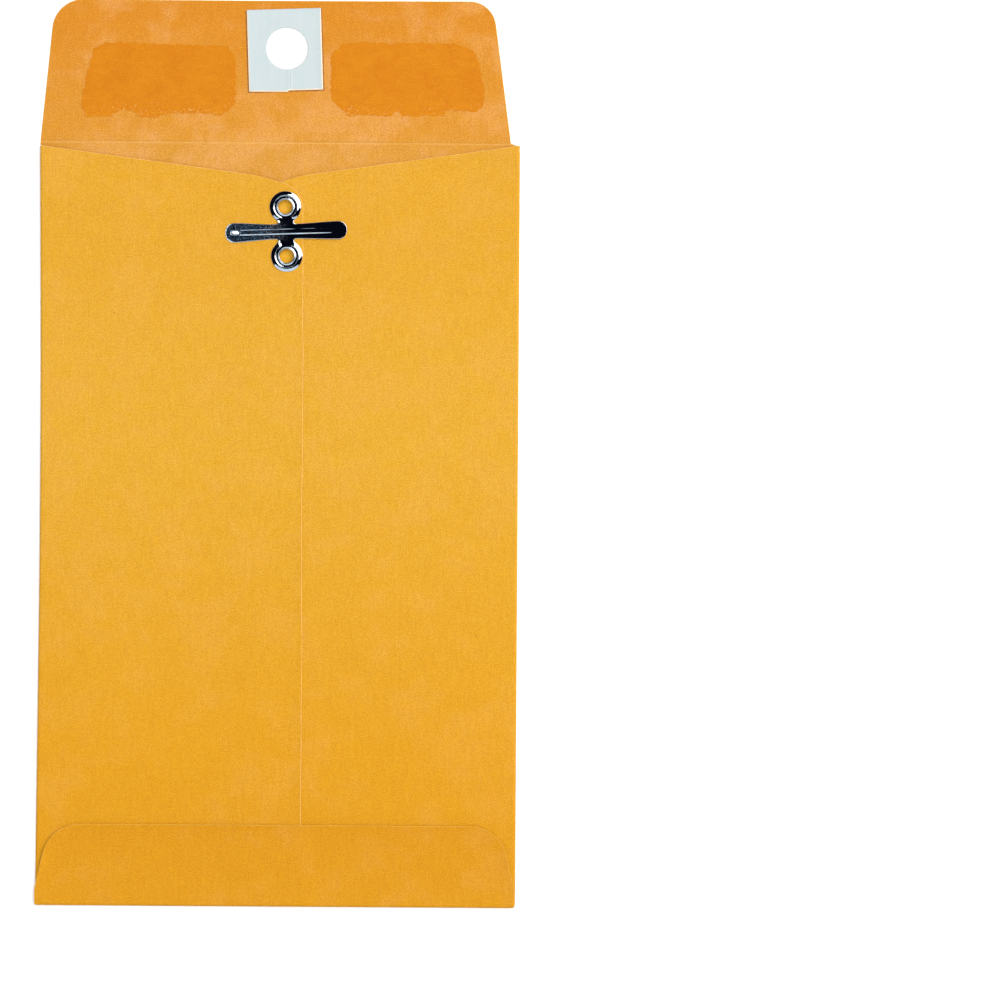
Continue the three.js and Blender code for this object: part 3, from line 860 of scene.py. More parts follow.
def patch_corners(margin, radius):
    """The turned patch's corners, a margin inside its cut edge."""
    c, s = math.cos(PATCH_TURN), math.sin(PATCH_TURN)
    w, h = PATCH_HALF[0] - margin, PATCH_HALF[1] - margin
    return [(PATCH_X + c * x - s * y, PATCH_Y + s * x + c * y, radius)
            for x, y in ((-w, -h), (w, -h), (w, h), (-w, h))]


def patch_glue_place(uv):
    """The paste lies on the flap's inner face and rides its waves."""
    return flap_place(uv) + [0, 0, PAPER / 2 + GLUE_FILM / 2]


def patch_place(uv):
    """The board lies on its paste. It has a nick right of the hole and two scored lines below it, and
    its edges curl up, but less where the folded flap lays them on the clasp's ring."""
    x, y = uv[:, 0], uv[:, 1]
    nick = 0.05 * np.exp(-((y - NICK_Y + 0.4) / 0.2) ** 2) - 0.10 * np.exp(-((y - NICK_Y) / 0.16) ** 2)
    nick = nick * smooth(x, HOLE_X + 4.9, HOLE_X + 6.0)
    below = smooth(HOLE_Y - y, 4.5, 5.4)
    lines = sum(0.075 * np.exp(-((x - line) / 0.11) ** 2) * below for line in PATCH_LINES)
    c, s = math.cos(PATCH_TURN), math.sin(PATCH_TURN)
    across = c * (x - PATCH_X) + s * (y - PATCH_Y)
    up = c * (y - PATCH_Y) - s * (x - PATCH_X)
    near = np.minimum(PATCH_HALF[0] - np.abs(across), PATCH_HALF[1] + up)
    over_ring = smooth(6.2 - np.abs(x - CLASP_X), 0, 2.4) * smooth(-up, 4, 7)
    curl = (0.12 - 0.08 * over_ring) * np.clip(1 - near / 2.0, 0, 1) ** 2
    lift = np.zeros((len(uv), 3))
    lift[:, 2] = PAPER / 2 + GLUE_FILM + PATCH_BOARD / 2 + nick + lines + curl
    return flap_place(uv) + lift


# The patch's paste film in a dark brown, so that its rim past the patch's edges is a painted contact shadow.
def patch_glue_painted_shadow():
    f = Finish("patch glue, painted contact shadow")
    place = f.node("ShaderNodeTexCoord", {}, (), 3)
    thick = f.noise(place, 900, 3, 0.6)
    mixed = f.mix(f.step(thick, 0.35, 0.65), (0.26, 0.085, 0.012), (0.37, 0.135, 0.022))
    return f.done(mixed, 0.5, thick, 0.00002, 0.5, Specular_IOR_Level=0.25)


# The film's dark rim shows past the patch at the sides and below, but not at the top: a painted shadow along
# those edges of the patch.
glue_and_shadow_corners = [(x, y - (0.45 if y > PATCH_Y else 0), r) for x, y, r in patch_corners(-0.28, 0.2)]
film("patch_glue_film", corner_path(glue_and_shadow_corners), patch_glue_place, "patch_glue", body="flap",
     holes=[circle(HOLE_X, HOLE_Y, HOLE_RADIUS + 0.02, 48)], finish=patch_glue_painted_shadow())
patch_outline = patch_corners(0, 0.15)
notch_x = HOLE_X + 0.25
notch_y = patch_outline[0][1]
patch_outline[1:1] = [(notch_x, notch_y + 0.02, 0), (notch_x + 0.12, notch_y + 0.30, 0),
                      (notch_x + 0.5, notch_y + 0.33, 0)]
patch_rows = [np.array([(line + d, y) for d in np.linspace(-0.3, 0.3, 9)
                        for y in np.arange(HOLE_Y - 8.4, HOLE_Y - 4.6, 0.3)]) for line in PATCH_LINES]
patch_rows.append(np.array([(x, NICK_Y + d) for d in np.linspace(-0.4, 0.4, 11)
                            for x in np.arange(HOLE_X + 4.9, HOLE_X + 7.2, 0.3)]))


def patch_cut(loop):
    """How round the cut edge is: most where the knife dragged, less at the top and at the hole."""
    hole = np.hypot(loop[:, 0] - HOLE_X, loop[:, 1] - HOLE_Y) < HOLE_RADIUS + 0.1
    top = loop[:, 1] > PATCH_Y + PATCH_HALF[1] - 0.5
    return np.where(hole, 0.35, np.where(top, 0.3, 1))


flap_patch = cut_sheet("flap_patch_board", corner_path(patch_outline, 0.8), patch_place, as_drawn,
                       [patch_face, patch_face, patch_edge], cut=patch_cut, rows=patch_rows,
                       holes=[circle(HOLE_X, HOLE_Y, HOLE_RADIUS - 0.05, 72)],
                       cell=0.6, thickness=PATCH_BOARD, bevel=0.24)
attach(flap_patch, "flap")
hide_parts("flap_patch")


# Gum strips. Remoistenable gum is rolled on both sides of the patch and dries as a thin
# darker film, crisp along the top and scalloped along the bottom where the roller lifted.

GUM_FILM = 0.05


def dried_gum():
    f = Finish("dried gum")
    flat = f.node("ShaderNodeUVMap", {"uv_map": "blank"})
    pool = f.noise(flat, 160, 3, 0.6)
    roll_marks = f.noise(flat, 700, 3, 0.6, 0.8, stretch=(0.5, 1, 1), shift=0.8)
    fine = f.noise(flat, 2900, 2, 0.6, shift=2.2)
    amount = f.step(pool * 0.45 + roll_marks * 0.4 + fine * 0.15, 0.38, 0.62)
    mixed = f.mix(amount, (0.500, 0.169, 0.0026), (0.467, 0.144, 0.0010))
    grain = f.mix(0.5 + (fine - 0.5) * 3.4, (0.92, 0.87, 0.6), (1.08, 1.13, 1.4))
    mixed = f.mix(1.0, mixed, grain, "MULTIPLY")
    y = f.node("ShaderNodeSeparateXYZ", {}, [flat], 1)
    thin = 1 - f.step(y, (CREASE + 5.2) * MM, (CREASE + 11.5) * MM)
    starved = f.noise(flat, 2100, 3, 0.65, shift=4.1) * 0.7 + pool * 0.3
    mixed = f.mix(f.step(starved + thin * 0.10, 0.64, 0.68) * 0.8, mixed, (0.54, 0.27, 0.062))
    height = roll_marks * 0.7 + fine * 0.3
    return f.done(mixed, 0.5 + fine * 0.2, height, 0.00003, 0.5, Specular_IOR_Level=0.12)


gum = dried_gum()


def ragged(path, size, seed):
    """A dried edge: small bites and beads along the path."""
    bead_step = 0.32
    draw = np.random.default_rng(seed)
    path = resample(np.asarray(path, float), bead_step)
    bite = np.convolve(np.tile(draw.normal(0, 1, len(path)), 3), [0.2, 0.6, 0.2], "same")
    return inset(path, size * bite[len(path):2 * len(path)])


def gum_place(uv):
    """The gum lies on the flap's inner face and rides its waves."""
    return flap_place(uv) + [0, 0, PAPER / 2 + GUM_FILM / 2]


def gum_strip(name, node, corners, seed):
    """One strip. Its corners are (x, height above the crease, radius)."""
    raggedness = 0.17
    outline = corner_path([(x, CREASE + y, r) for x, y, r in corners], 0.8)
    strip = cut_sheet(name, ragged(outline, raggedness, seed), gum_place, as_drawn, [gum, gum, gum],
                      thickness=GUM_FILM, bevel=0.04, cell=1.6)
    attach(strip, "flap")
    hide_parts(node)


gum_strip("gum_strip_left", "left_gum_strip", [
    (-41.4, 5.1, 0.6), (-35.6, 5.2, 0.4), (-33.9, 6.5, 0.8), (-31.3, 6.5, 0.5), (-30.0, 5.1, 0.5),
    (-26.2, 5.0, 0.5), (-24.3, 5.9, 0.6), (-17.5, 6.0, 0.6), (-14.0, 5.6, 0.5), (-12.9, 5.3, 0.4),
    (-11.3, 6.3, 0.7), (-9.6, 8.0, 1.2), (-9.5, 17.8, 1.4), (-11.1, 20.2, 1.2), (-24.0, 20.4, 0.4),
    (-31.0, 20.8, 0.4), (-37.2, 20.9, 0.6), (-39.6, 19.6, 0.8), (-40.9, 14.5, 2.0), (-42.2, 8.2, 1.2)], 3)
gum_strip("gum_strip_right", "right_gum_strip", [
    (14.4, 5.7, 0.8), (23.6, 5.6, 0.3), (24.0, 6.4, 0.3), (25.4, 6.4, 0.3), (25.8, 5.6, 0.3),
    (34.8, 5.7, 0.3), (35.2, 6.9, 0.4), (41.2, 6.6, 0.8), (43.0, 7.9, 1.0), (43.2, 11.0, 1.5),
    (42.0, 17.0, 2.0), (41.0, 19.3, 1.2), (37.0, 21.1, 2.0), (14.2, 21.1, 3.6), (10.6, 19.0, 2.2),
    (10.7, 9.0, 3.0)], 8)


# Clasp. One stamping of bright tinned sheet steel, 0.25 mm thick: a ribbed bar whose two prongs
# bend up at their roots, and a ring on a short neck at each side of the bar. Each ring's beaded
# rim surrounds a drawn barrel that goes through both back panels.

SHEET = 0.25
CLASP_BOTTOM = 1.25
SPAN_HALF = 12.9
RIB_REACH = SPAN_HALF - 1.2
BEND = 2.3
BAR_HALF = 1.6
NECK_HALF = 1.65
RING_OUTER = 3.33
RING_HOLE = 1.5
BEAD_CREST = 2.5
BEAD_HEIGHT = 0.5
GROOVE = 2.27
GROOVE_HEIGHT = 0.27
LIP_CREST = 1.64
LIP_FOOT = 1.94
LIP_HEIGHT = 0.48
RIM_HEIGHT = 0.16
BARREL_WALL = 0.16
BARREL_END = 0.70
ROLLED_EDGE = 0.10
RIB_HALF = 0.52
RIB_SLOPE = 0.13
RIB_HEIGHT = 0.18
RELIEF_LIMIT = 0.3
BEAD_SINK = 0.21
TIP_SINK = 0.20
TIP_SPRING = 0.05
BAR_CLEAR = 0.3
WEDGE_START = 9.95
WEDGE_END = 11.4
WEDGE_LEAN = math.radians(30)
# The humps at three of the inner corners: x, y, height, size.
GATHERS = ((-1.9, 1.95, 0.24, 0.44), (1.75, 2.0, 0.16, 0.34), (-1.9, -2.2, 0.24, 0.44))


def blade_gap(p, tip_half, sign):
    """Signed distance inside a prong's outline: wider towards a rounded tip. Positive is metal."""
    x, y = sign * p[:, 0], p[:, 1]
    radius = tip_half * 0.94
    centre = SPAN_HALF - radius
    body = BAR_HALF + (tip_half - BAR_HALF) * smooth(x, BEND, centre)
    side = body - np.abs(y)
    inner = np.maximum(np.abs(y) - (tip_half - radius), 0)
    end = radius - np.hypot(np.maximum(x - centre, 0), inner)
    return np.where(x > centre, end, side)


def plate_gap(p):
    """Signed distance inside the plate: bar, necks and rings, joined by small fillets."""
    def join(a, b, size):
        h = np.clip(0.5 + 0.5 * (a - b) / size, 0, 1)
        return b * (1 - h) + a * h + size * h * (1 - h)

    x, y = p[:, 0], p[:, 1]
    neck = np.minimum(NECK_HALF - np.abs(x), RING_PITCH / 2 - np.abs(y))
    return join(join(neck, RING_OUTER - ring_radius(p), 0.5), BAR_HALF - np.abs(y), 0.55)


def ring_radius(p):
    """How far a point is from the middle of the nearer ring."""
    return np.hypot(p[:, 0], np.abs(p[:, 1]) - RING_PITCH / 2)


def level_loops(gap, low, high, level):
    """The closed lines where gap equals level, as loops of points."""
    cell = 0.06
    xs, ys = np.arange(low[0], high[0], cell), np.arange(low[1], high[1], cell)
    grid = np.array(np.meshgrid(xs, ys, indexing="ij"))
    value = gap(grid.reshape(2, -1).T).reshape(len(xs), len(ys)) - level
    links = {}

    def crossing(i, j, k, l):
        t = value[i, j] / (value[i, j] - value[k, l])
        return (xs[i] + t * (xs[k] - xs[i]), ys[j] + t * (ys[l] - ys[j]))

    sign = value > 0
    first = sign[:-1, :-1]
    mixed = (first != sign[1:, :-1]) | (first != sign[:-1, 1:]) | (first != sign[1:, 1:])
    for i, j in zip(*np.nonzero(mixed)):
        corner = [(i, j), (i + 1, j), (i + 1, j + 1), (i, j + 1)]
        hits = []
        for a in range(4):
            p, q = corner[a], corner[(a + 1) % 4]
            if sign[p] != sign[q]:
                hits.append((min(p, q) + max(p, q), sign[p]))
        for one, other in zip(hits[::2], hits[1::2]):
            start, end = (one, other) if one[1] else (other, one)
            links[start[0]] = end[0]
    loops = []
    while links:
        key = next(iter(links))
        loop = []
        while key in links:
            loop.append(crossing(*key))
            key = links.pop(key)
        loops.append(np.array(loop))
    return loops


def even(loop, step):
    """The loop with its points the same step apart."""
    closed = np.vstack([loop, loop[:1]])
    run = np.concatenate([[0], np.cumsum(np.linalg.norm(np.diff(closed, axis=0), axis=1))])
    count = max(8, int(run[-1] / step))
    at = np.arange(count) * run[-1] / count
    return np.column_stack([np.interp(at, run, closed[:, 0]), np.interp(at, run, closed[:, 1])])


def tinned_steel(name, stamped):
    """Bright tinplate: a cool mirror with a fine tooth from the rolls, coarser on the bar. stamped
    pieces carry their flat pattern in their own UV map."""
    f = Finish(name)
    if stamped:
        place = f.node("ShaderNodeUVMap", {"uv_map": "blank"})
    else:
        place = f.node("ShaderNodeTexCoord", {}, (), 3)
    x, y = (f.node("ShaderNodeSeparateXYZ", {}, [place], k) for k in (0, 1))
    cloud = f.noise(place, 500, 3, 0.6)
    fine = f.noise(place, 5200, 3, 0.7)
    rolled = f.noise(place, 3000, 2, 0.6, stretch=(0.3, 1, 1), shift=0.3)
    on_bar = 1 - f.step(abs(y), 0.0016, 0.0024)
    worn = on_bar * f.step(0 - x, -0.001, 0.006)
    mixed = f.mix(f.step(cloud * 0.5 + fine * 0.5, 0.4, 0.62), (0.60, 0.66, 0.74), (0.76, 0.80, 0.86))
    # On the worn left of the bar, dull spots that mirror less; their blue base colour is a painted
    # reflection that stands in for the blue glints of the speckle.
    etched = f.noise(place, 3800, 2, 0.6, shift=1.9)
    dull_spots_painted_glint = f.step(etched * 0.85 + cloud * 0.15, 0.54, 0.58) * worn
    mixed = f.mix(dull_spots_painted_glint, mixed, (0.05, 0.135, 0.24))
    metallic = 1 - dull_spots_painted_glint * 0.6
    rough = 0.05 + worn * 0.02 + dull_spots_painted_glint * 0.04
    height = (rolled * 0.5 + fine * 0.9) * (0.03 + worn * 0.42) + cloud * 0.3
    return f.done(mixed, rough, height, 0.00003, 0.7, Metallic=metallic)


steel = tinned_steel("tinned steel", True)
inner_steel = tinned_steel("tinned steel inside", False)


def rolled_edge(gap, p):
    """How far the stamping's rim falls away, from its edge inwards. It is rounder in the corners
    between the bar and the necks, and bevelled round the left tip."""
    x, y = p[:, 0], p[:, 1]
    size = ROLLED_EDGE * (1 - 0.5 * smooth(x, 2, 6))
    size = size + 0.12 * np.exp(-((np.abs(y) - 2.0) / 0.45) ** 2)
    t = np.clip(1 - gap / size, 0, 1)
    bevel = np.clip(0.27 - gap, 0, 1) * 0.80 * smooth(-x, 10.4, 12.2)
    return np.maximum(size * 0.8 * (1 - np.sqrt(np.maximum(1 - t * t, 0))), bevel)


def rib_rise(p):
    """The pressed rib along the bar. It ends at the left in front of a small wedge, and it fades
    out at the right."""
    x, y = p[:, 0], p[:, 1]
    end = RIB_REACH - RIB_HALF
    strength = 0.92 + 0.08 * smooth(np.abs(np.abs(x) - BEND), 0, 2.0)
    strength = strength * (1 - 0.95 * smooth(x, end - 5.6, end + 0.2))
    strength = strength * (1 - smooth(-x, WEDGE_START - 0.4, WEDGE_START))
    body = np.hypot(np.maximum(np.abs(x) - end, 0), y)
    crown = 0.04 * (1 - np.clip(body / RIB_HALF, 0, 1) ** 2)
    slope = RIB_SLOPE + np.where(y > 0, 0.06 + 0.02 * smooth(x, 0, 4), -0.03 * smooth(x, 4, 8))
    rib = RIB_HEIGHT * smooth(RIB_HALF + slope - body, 0, 2 * slope) + crown
    uphill = -x * math.cos(WEDGE_LEAN) - y * math.sin(WEDGE_LEAN)
    reach = (WEDGE_END - WEDGE_START) * math.cos(WEDGE_LEAN)
    wedge = RELIEF_LIMIT * np.clip((uphill - WEDGE_START * math.cos(WEDGE_LEAN)) / reach, 0, 1)
    wedge = wedge * (1 - smooth(-x, WEDGE_END, WEDGE_END + 0.5)) * (1 - smooth(np.abs(y), 0.30, 0.52))
    return np.minimum(rib * strength + wedge, RELIEF_LIMIT)


def ring_rise(r, bead):
    """The ring's section: lip round the hole, groove, then the bead with its long outer slope."""
    inner = np.sqrt(np.clip(1 - ((r - LIP_CREST) / (LIP_CREST - RING_HOLE)) ** 2, 0, 1))
    flank = 1 - np.clip((r - LIP_CREST - 0.04) / (LIP_FOOT - LIP_CREST - 0.04), 0, 1)
    lip = GROOVE_HEIGHT + (LIP_HEIGHT - GROOVE_HEIGHT) * np.where(r < LIP_CREST, inner, flank)
    rise = GROOVE_HEIGHT + (bead - GROOVE_HEIGHT) * smooth(r, GROOVE, BEAD_CREST)
    outwards = np.clip((r - BEAD_CREST) / (RING_OUTER - BEAD_CREST), 0, 1)
    fall = bead - (bead - RIM_HEIGHT) * outwards ** 1.5
    return np.where(r < GROOVE, lip, np.where(r < BEAD_CREST, rise, fall))


def gathers(p):
    """Small humps in the inner corners, where the drawing of the rings gathered the metal."""
    return sum(high * np.exp(-((p[:, 0] - x) ** 2 + (p[:, 1] - y) ** 2) / size ** 2)
               for x, y, high, size in GATHERS)


def plate_heights(p):
    """The plate's relief. Each ring's bead sinks to the level of the neck where it meets it."""
    gap = plate_gap(p)
    r = ring_radius(p)
    to_bar = (RING_PITCH / 2 - np.abs(p[:, 1])) / np.maximum(r, 0.1)
    bead = BEAD_HEIGHT - BEAD_SINK * smooth(to_bar, 0.78, 0.97)
    flat = SHEET + rib_rise(p) - rolled_edge(gap, p)
    onto = smooth(RING_OUTER + 0.15 - r, 0, 0.3)
    ring = np.where(r < RING_OUTER, ring_rise(np.minimum(r, RING_OUTER), bead), RIM_HEIGHT)
    relief = flat * (1 - onto) + ring * onto + gathers(p) * smooth(r, 2.4, 2.9)
    return np.minimum(relief, BEAD_HEIGHT)


def tip_fall(x):
    """The left tip is pressed down towards the paper; the right one springs up a touch."""
    pressed = 2.4
    left = TIP_SINK * np.clip((-x - (SPAN_HALF - pressed)) / pressed, 0, 1) ** 2
    right = TIP_SPRING * np.clip((x - BEND) / (SPAN_HALF - BEND), 0, 1) ** 2
    return left - right


def stamping(name, loops, points, heights, bottom_of=None, extra_walls=()):
    """A stamped piece: its relief on top, its flat back, and the walls of its outline. Each of a
    hole's extra walls is (radius, z), from the top down to the barrel's end and up its outside."""
    flat, faces, border = triangles(loops, points)
    n = len(flat)
    base = CLASP_BOTTOM - tip_fall(flat[:, 0])
    top = base + heights(flat)
    low = flat if bottom_of is None else bottom_of(flat)
    x, y = on_clasp(flat[:, 0], flat[:, 1])
    u, v = on_clasp(low[:, 0], low[:, 1])
    points3 = [np.column_stack([x, y, top]), np.column_stack([u, v, base])]
    all_faces = [tuple(f) for f in faces] + [tuple(f[::-1] + n) for f in faces]
    first, total = 0, 2 * n
    for number, loop in enumerate(loops):
        size = len(loop)
        ring = border[first:first + size]
        chain = [ring]
        if number and extra_walls:
            centre = np.array([0, math.copysign(RING_PITCH / 2, loop[:, 1].mean())])
            away = loop - centre
            away /= np.linalg.norm(away, axis=1)[:, None]
            for radius, z in extra_walls:
                wx, wy = on_clasp(*(centre + away * radius).T)
                points3.append(np.column_stack([wx, wy, np.full(size, z)]))
                chain.append(np.arange(total, total + size))
                total += size
        chain.append(ring + n)
        for upper, lower in zip(chain, chain[1:]):
            for i in range(size):
                j = (i + 1) % size
                all_faces.append((upper[i], lower[i], lower[j], upper[j]))
        first += size
    pattern = np.vstack([flat, flat, np.zeros((total - 2 * n, 2))])
    piece = new_piece(name, np.vstack(points3), all_faces, [steel], pattern)
    sharpen(piece, 50)
    return piece


EDGE_STEPS = (0.02, 0.05, 0.085, 0.125, 0.17, 0.24)
RIB_STEPS = (0, 0.2, 0.34, 0.41, 0.46, 0.5, 0.54, 0.58, 0.62, 0.68, 0.77, 0.85)


def rib_rows(*further):
    """How far from the bar's middle the lines of points lie that carry the rib's section."""
    return sorted({sign * v for sign in (-1, 1) for v in RIB_STEPS + further})


def border_points(gap, low, high, step):
    """Lines of points just inside the outline, so that its rolled edge is smooth."""
    lines = []
    for level in EDGE_STEPS:
        lines += [even(loop, step) for loop in level_loops(gap, low, high, level)]
    return np.vstack(lines)


def plate_field(p):
    """The plate's outline: its bar ends at the two bend lines, where the prongs go on."""
    beside_bar = 1e3 * (np.abs(p[:, 1]) > BAR_HALF + BAR_CLEAR)
    return np.minimum(plate_gap(p), BEND - np.abs(p[:, 0]) + beside_bar)


def barrel_bore(end):
    """The drawn hole is slightly eight-sided, from the split barrel."""
    a = np.arange(72) * 2 * math.pi / 72
    side = math.pi / 8
    radius = RING_HOLE * (0.5 + 0.4925 / np.cos((a + 0.2) % (2 * side) - side))
    return np.column_stack([radius * np.cos(a), end * RING_PITCH / 2 + radius * np.sin(a)])


plate_low, plate_high = (-BEND - 1.3, -9.0), (BEND + 1.3, 9.0)
plate_outline = even(max(level_loops(plate_field, plate_low, plate_high, 0.0), key=len), 0.09)
bores = [barrel_bore(end)[::-1] for end in (-1, 1)]
near_edge = border_points(plate_gap, plate_low, plate_high, 0.10)
round_rings = [circle(0, end * RING_PITCH / 2, r, int(2 * math.pi * r / 0.11))
               for end in (-1, 1) for r in np.arange(1.54, 3.05, 0.065)]
along_bar = np.arange(-BEND + 0.03, BEND, 0.08)
on_bar = [np.column_stack([along_bar, np.full(len(along_bar), y)]) for y in rib_rows(1.0)]
relief = np.vstack(round_rings + on_bar)
relief = relief[(plate_gap(relief) > 0.26) | (ring_radius(relief) > RING_OUTER + 0.2)]
plate_points = np.vstack([near_edge, relief])
off_bar = np.abs(plate_points[:, 1]) > BAR_HALF + BAR_CLEAR
plate_points = plate_points[(np.abs(plate_points[:, 0]) < BEND - 0.02) | off_bar]
plate_points = plate_points[plate_gap(plate_points) > 0.01]


def barrel_side(p):
    """The underside of the rings opens out round the barrels."""
    opening = 0.6
    r = ring_radius(p)
    near = r < RING_HOLE + opening
    out = np.where(near, RING_HOLE + BARREL_WALL + (r - RING_HOLE) * (opening - BARREL_WALL) / opening, r)
    middle = np.sign(p[:, 1]) * RING_PITCH / 2
    scale = np.where(near, out / np.maximum(r, 1e-6), 1)
    return np.column_stack([p[:, 0] * scale, middle + (p[:, 1] - middle) * scale])


barrel_outside = RING_HOLE + BARREL_WALL
barrel_walls = [(RING_HOLE, CLASP_BOTTOM), (RING_HOLE, BARREL_END + 0.04), (RING_HOLE + 0.04, BARREL_END),
                (barrel_outside, BARREL_END), (barrel_outside, CLASP_BOTTOM - 0.02)]
clasp_plate = stamping("clasp_plate_stamping", [plate_outline] + bores, plate_points, plate_heights,
                       barrel_side, barrel_walls)
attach(clasp_plate, "envelope")
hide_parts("clasp_plate")


# Prongs. The two ends of the bar, each widening to a rounded tip. They lie flat on the envelope
# and are bent up by hand at their roots to go through the flap's hole.

ROOT_BEND = 0.5
ROOT_END = BEND + 0.8
WEDGE_ROWS = 9.4
LAST_ROW = 12.6


def make_prong(name, side, tip_half, node):
    """One prong. Its lines of points are closer together where it bends and round the wedge."""
    def gap_of(p):
        return blade_gap(p, tip_half, side)

    def field(p):
        return np.minimum(gap_of(p), side * p[:, 0] - BEND)

    def heights(p):
        return SHEET + rib_rise(p) - rolled_edge(gap_of(p), p)

    low = (min(side * BEND, side * 13.6) - 0.3, -2.6)
    high = (max(side * BEND, side * 13.6) + 0.3, 2.6)
    outline = even(max(level_loops(field, low, high, 0.0), key=len), 0.1)
    near_root = np.abs(side * outline[:, 0] - BEND) < 0.05
    outline[near_root, 0] = side * BEND
    along = np.concatenate([np.arange(BEND + 0.03, ROOT_END, 0.045),
                            np.arange(ROOT_END + 0.05, WEDGE_ROWS, 0.16),
                            np.arange(WEDGE_ROWS, LAST_ROW, 0.07)])
    middle = np.array([(side * x, y) for x in along for y in rib_rows(1.05, 1.3)])
    middle = middle[gap_of(middle) > 0.27]
    rim = border_points(gap_of, low, high, 0.11)
    rim = rim[side * rim[:, 0] > BEND + 0.02]
    prong = stamping(name, [outline], np.vstack([rim, middle]), heights)
    root, turned = on_clasp(side * BEND, 0), on_clasp(side * (BEND + ROOT_BEND), 0)
    root[0] * MM
    root[1] * MM
    turned[0] * MM
    turned[1] * MM
    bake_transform(prong)
    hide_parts(node)


make_prong("left_prong_stamping", -1, 2.08, "left_prong")
make_prong("right_prong_stamping", 1, 1.93, "right_prong")


# Clinched petals. Inside the pocket each barrel's end is split and rolled out into six petals
# that grip the right back panel from below.

def petal_tree(finish):
    """A ring of curled petals round the origin: one petal is a bent grid, given its thickness and
    a back, and copied round by the number of petals."""
    tree = bpy.data.node_groups.new("clinched petals", "GeometryNodeTree")
    tree.interface.new_socket("Geometry", in_out="OUTPUT", socket_type="NodeSocketGeometry")
    sizes = {"Petals": 6, "Root Radius": 1.6 * MM, "Reach": 0.85 * MM, "Thickness": 0.12 * MM,
             "Gap Angle": 0.16, "Dip": 0.09 * MM, "Height": 0.74 * MM}
    for name, value in sizes.items():
        kind = "NodeSocketInt" if isinstance(value, int) else "NodeSocketFloat"
        tree.interface.new_socket(name, in_out="INPUT", socket_type=kind).default_value = value

    def add(kind, settings=None, inputs=()):
        return add_node(tree, kind, settings, inputs)

    def maths(operation, a, b=0.0):
        return add("ShaderNodeMath", {"operation": operation}, [a, b]).outputs[0]

    given = tree.nodes.new("NodeGroupInput").outputs
    grid = add("GeometryNodeMeshGrid", {}, {"Size X": 1.0, "Size Y": 1.0, "Vertices X": 9, "Vertices Y": 9})
    spot = add("ShaderNodeSeparateXYZ", {}, [add("GeometryNodeInputPosition").outputs[0]])
    across = maths("ADD", spot.outputs[0], 0.5)
    sideways = spot.outputs[1]
    share = maths("DIVIDE", 2 * math.pi, given["Petals"])
    narrow = maths("SUBTRACT", 1.0, maths("MULTIPLY", maths("POWER", across, 3.0), 0.55))
    width = maths("SUBTRACT", share, given["Gap Angle"])
    angle = maths("MULTIPLY", maths("MULTIPLY", width, sideways), narrow)
    radius = maths("ADD", given["Root Radius"], maths("MULTIPLY", given["Reach"], across))
    curl = maths("MULTIPLY", given["Dip"], maths("SINE", maths("MULTIPLY", across, math.pi)))
    height = maths("SUBTRACT", given["Height"], curl)
    place_x = maths("MULTIPLY", radius, maths("COSINE", angle))
    place_y = maths("MULTIPLY", radius, maths("SINE", angle))
    place = add("ShaderNodeCombineXYZ", {}, [place_x, place_y, height])
    bent = add("GeometryNodeSetPosition", {}, {"Geometry": grid.outputs[0], "Position": place.outputs[0]})
    thick = add("GeometryNodeExtrudeMesh", {"mode": "FACES"},
                {"Mesh": bent.outputs[0], "Offset": (0.0, 0.0, 1.0), "Offset Scale": given["Thickness"],
                 "Individual": False})
    back = add("GeometryNodeFlipFaces", {}, {"Mesh": bent.outputs[0]})
    closed = add("GeometryNodeJoinGeometry")
    tree.links.new(thick.outputs[0], closed.inputs[0])
    tree.links.new(back.outputs[0], closed.inputs[0])
    welded = add("GeometryNodeMergeByDistance", {}, {"Geometry": closed.outputs[0], "Distance": 1e-7})
    spots = add("GeometryNodePoints", {}, {"Count": given["Petals"]})
    index = add("GeometryNodeInputIndex").outputs[0]
    turn = add("ShaderNodeCombineXYZ", {}, {2: maths("ADD", maths("MULTIPLY", share, index), 0.26)})
    ring = add("GeometryNodeInstanceOnPoints", {},
               {"Points": spots.outputs[0], "Instance": welded.outputs[0], "Rotation": turn.outputs[0]})
    real = add("GeometryNodeRealizeInstances", {}, {"Geometry": ring.outputs[0]})
    painted = add("GeometryNodeSetMaterial", {}, {"Geometry": real.outputs[0], "Material": finish})
    add("NodeGroupOutput", {}, [painted.outputs[0]])
    return tree


def make_petals(name, end, tree):
    """The petals of one barrel, as a plain mesh moved to the barrel's end."""
    carrier = bpy.data.objects.new("petal carrier", bpy.data.meshes.new("petal carrier"))
    bpy.context.scene.collection.objects.link(carrier)
    modifier = carrier.modifiers.new("petals", "NODES")
    modifier.node_group = tree
    bpy.context.view_layer.update()
    made = bpy.data.meshes.new_from_object(carrier.evaluated_get(bpy.context.evaluated_depsgraph_get()))
    bpy.data.objects.remove(carrier)
    x, y = on_clasp(0, end * RING_PITCH / 2)
    made.transform(Matrix.Translation((x * MM, y * MM, 0)))
    made.polygons.foreach_set("use_smooth", np.ones(len(made.polygons), bool))
    petals = bpy.data.objects.new(name, made)
    made.name = name
    bpy.context.scene.collection.objects.link(petals)
    sharpen(petals)
    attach(petals, "envelope")


clinch = petal_tree(inner_steel)
make_petals("lower_clinch_petals", -1, clinch)
make_petals("upper_clinch_petals", 1, clinch)


# Table, light and camera. A plain white table under soft boxes: a broad one overhead, the main
# one at the upper right and a cooler one at the foot. The camera looks straight down.

def table_top():
    f = Finish("white table")
    place = f.node("ShaderNodeTexCoord", {}, (), 3)
    cloud = f.noise(place, 6, 2, 0.5)
    mixed = f.mix(f.step(cloud, 0.3, 0.7), (0.93, 0.93, 0.93), (0.95, 0.95, 0.95))
    return f.done(mixed, 0.7, Specular_IOR_Level=0.2)


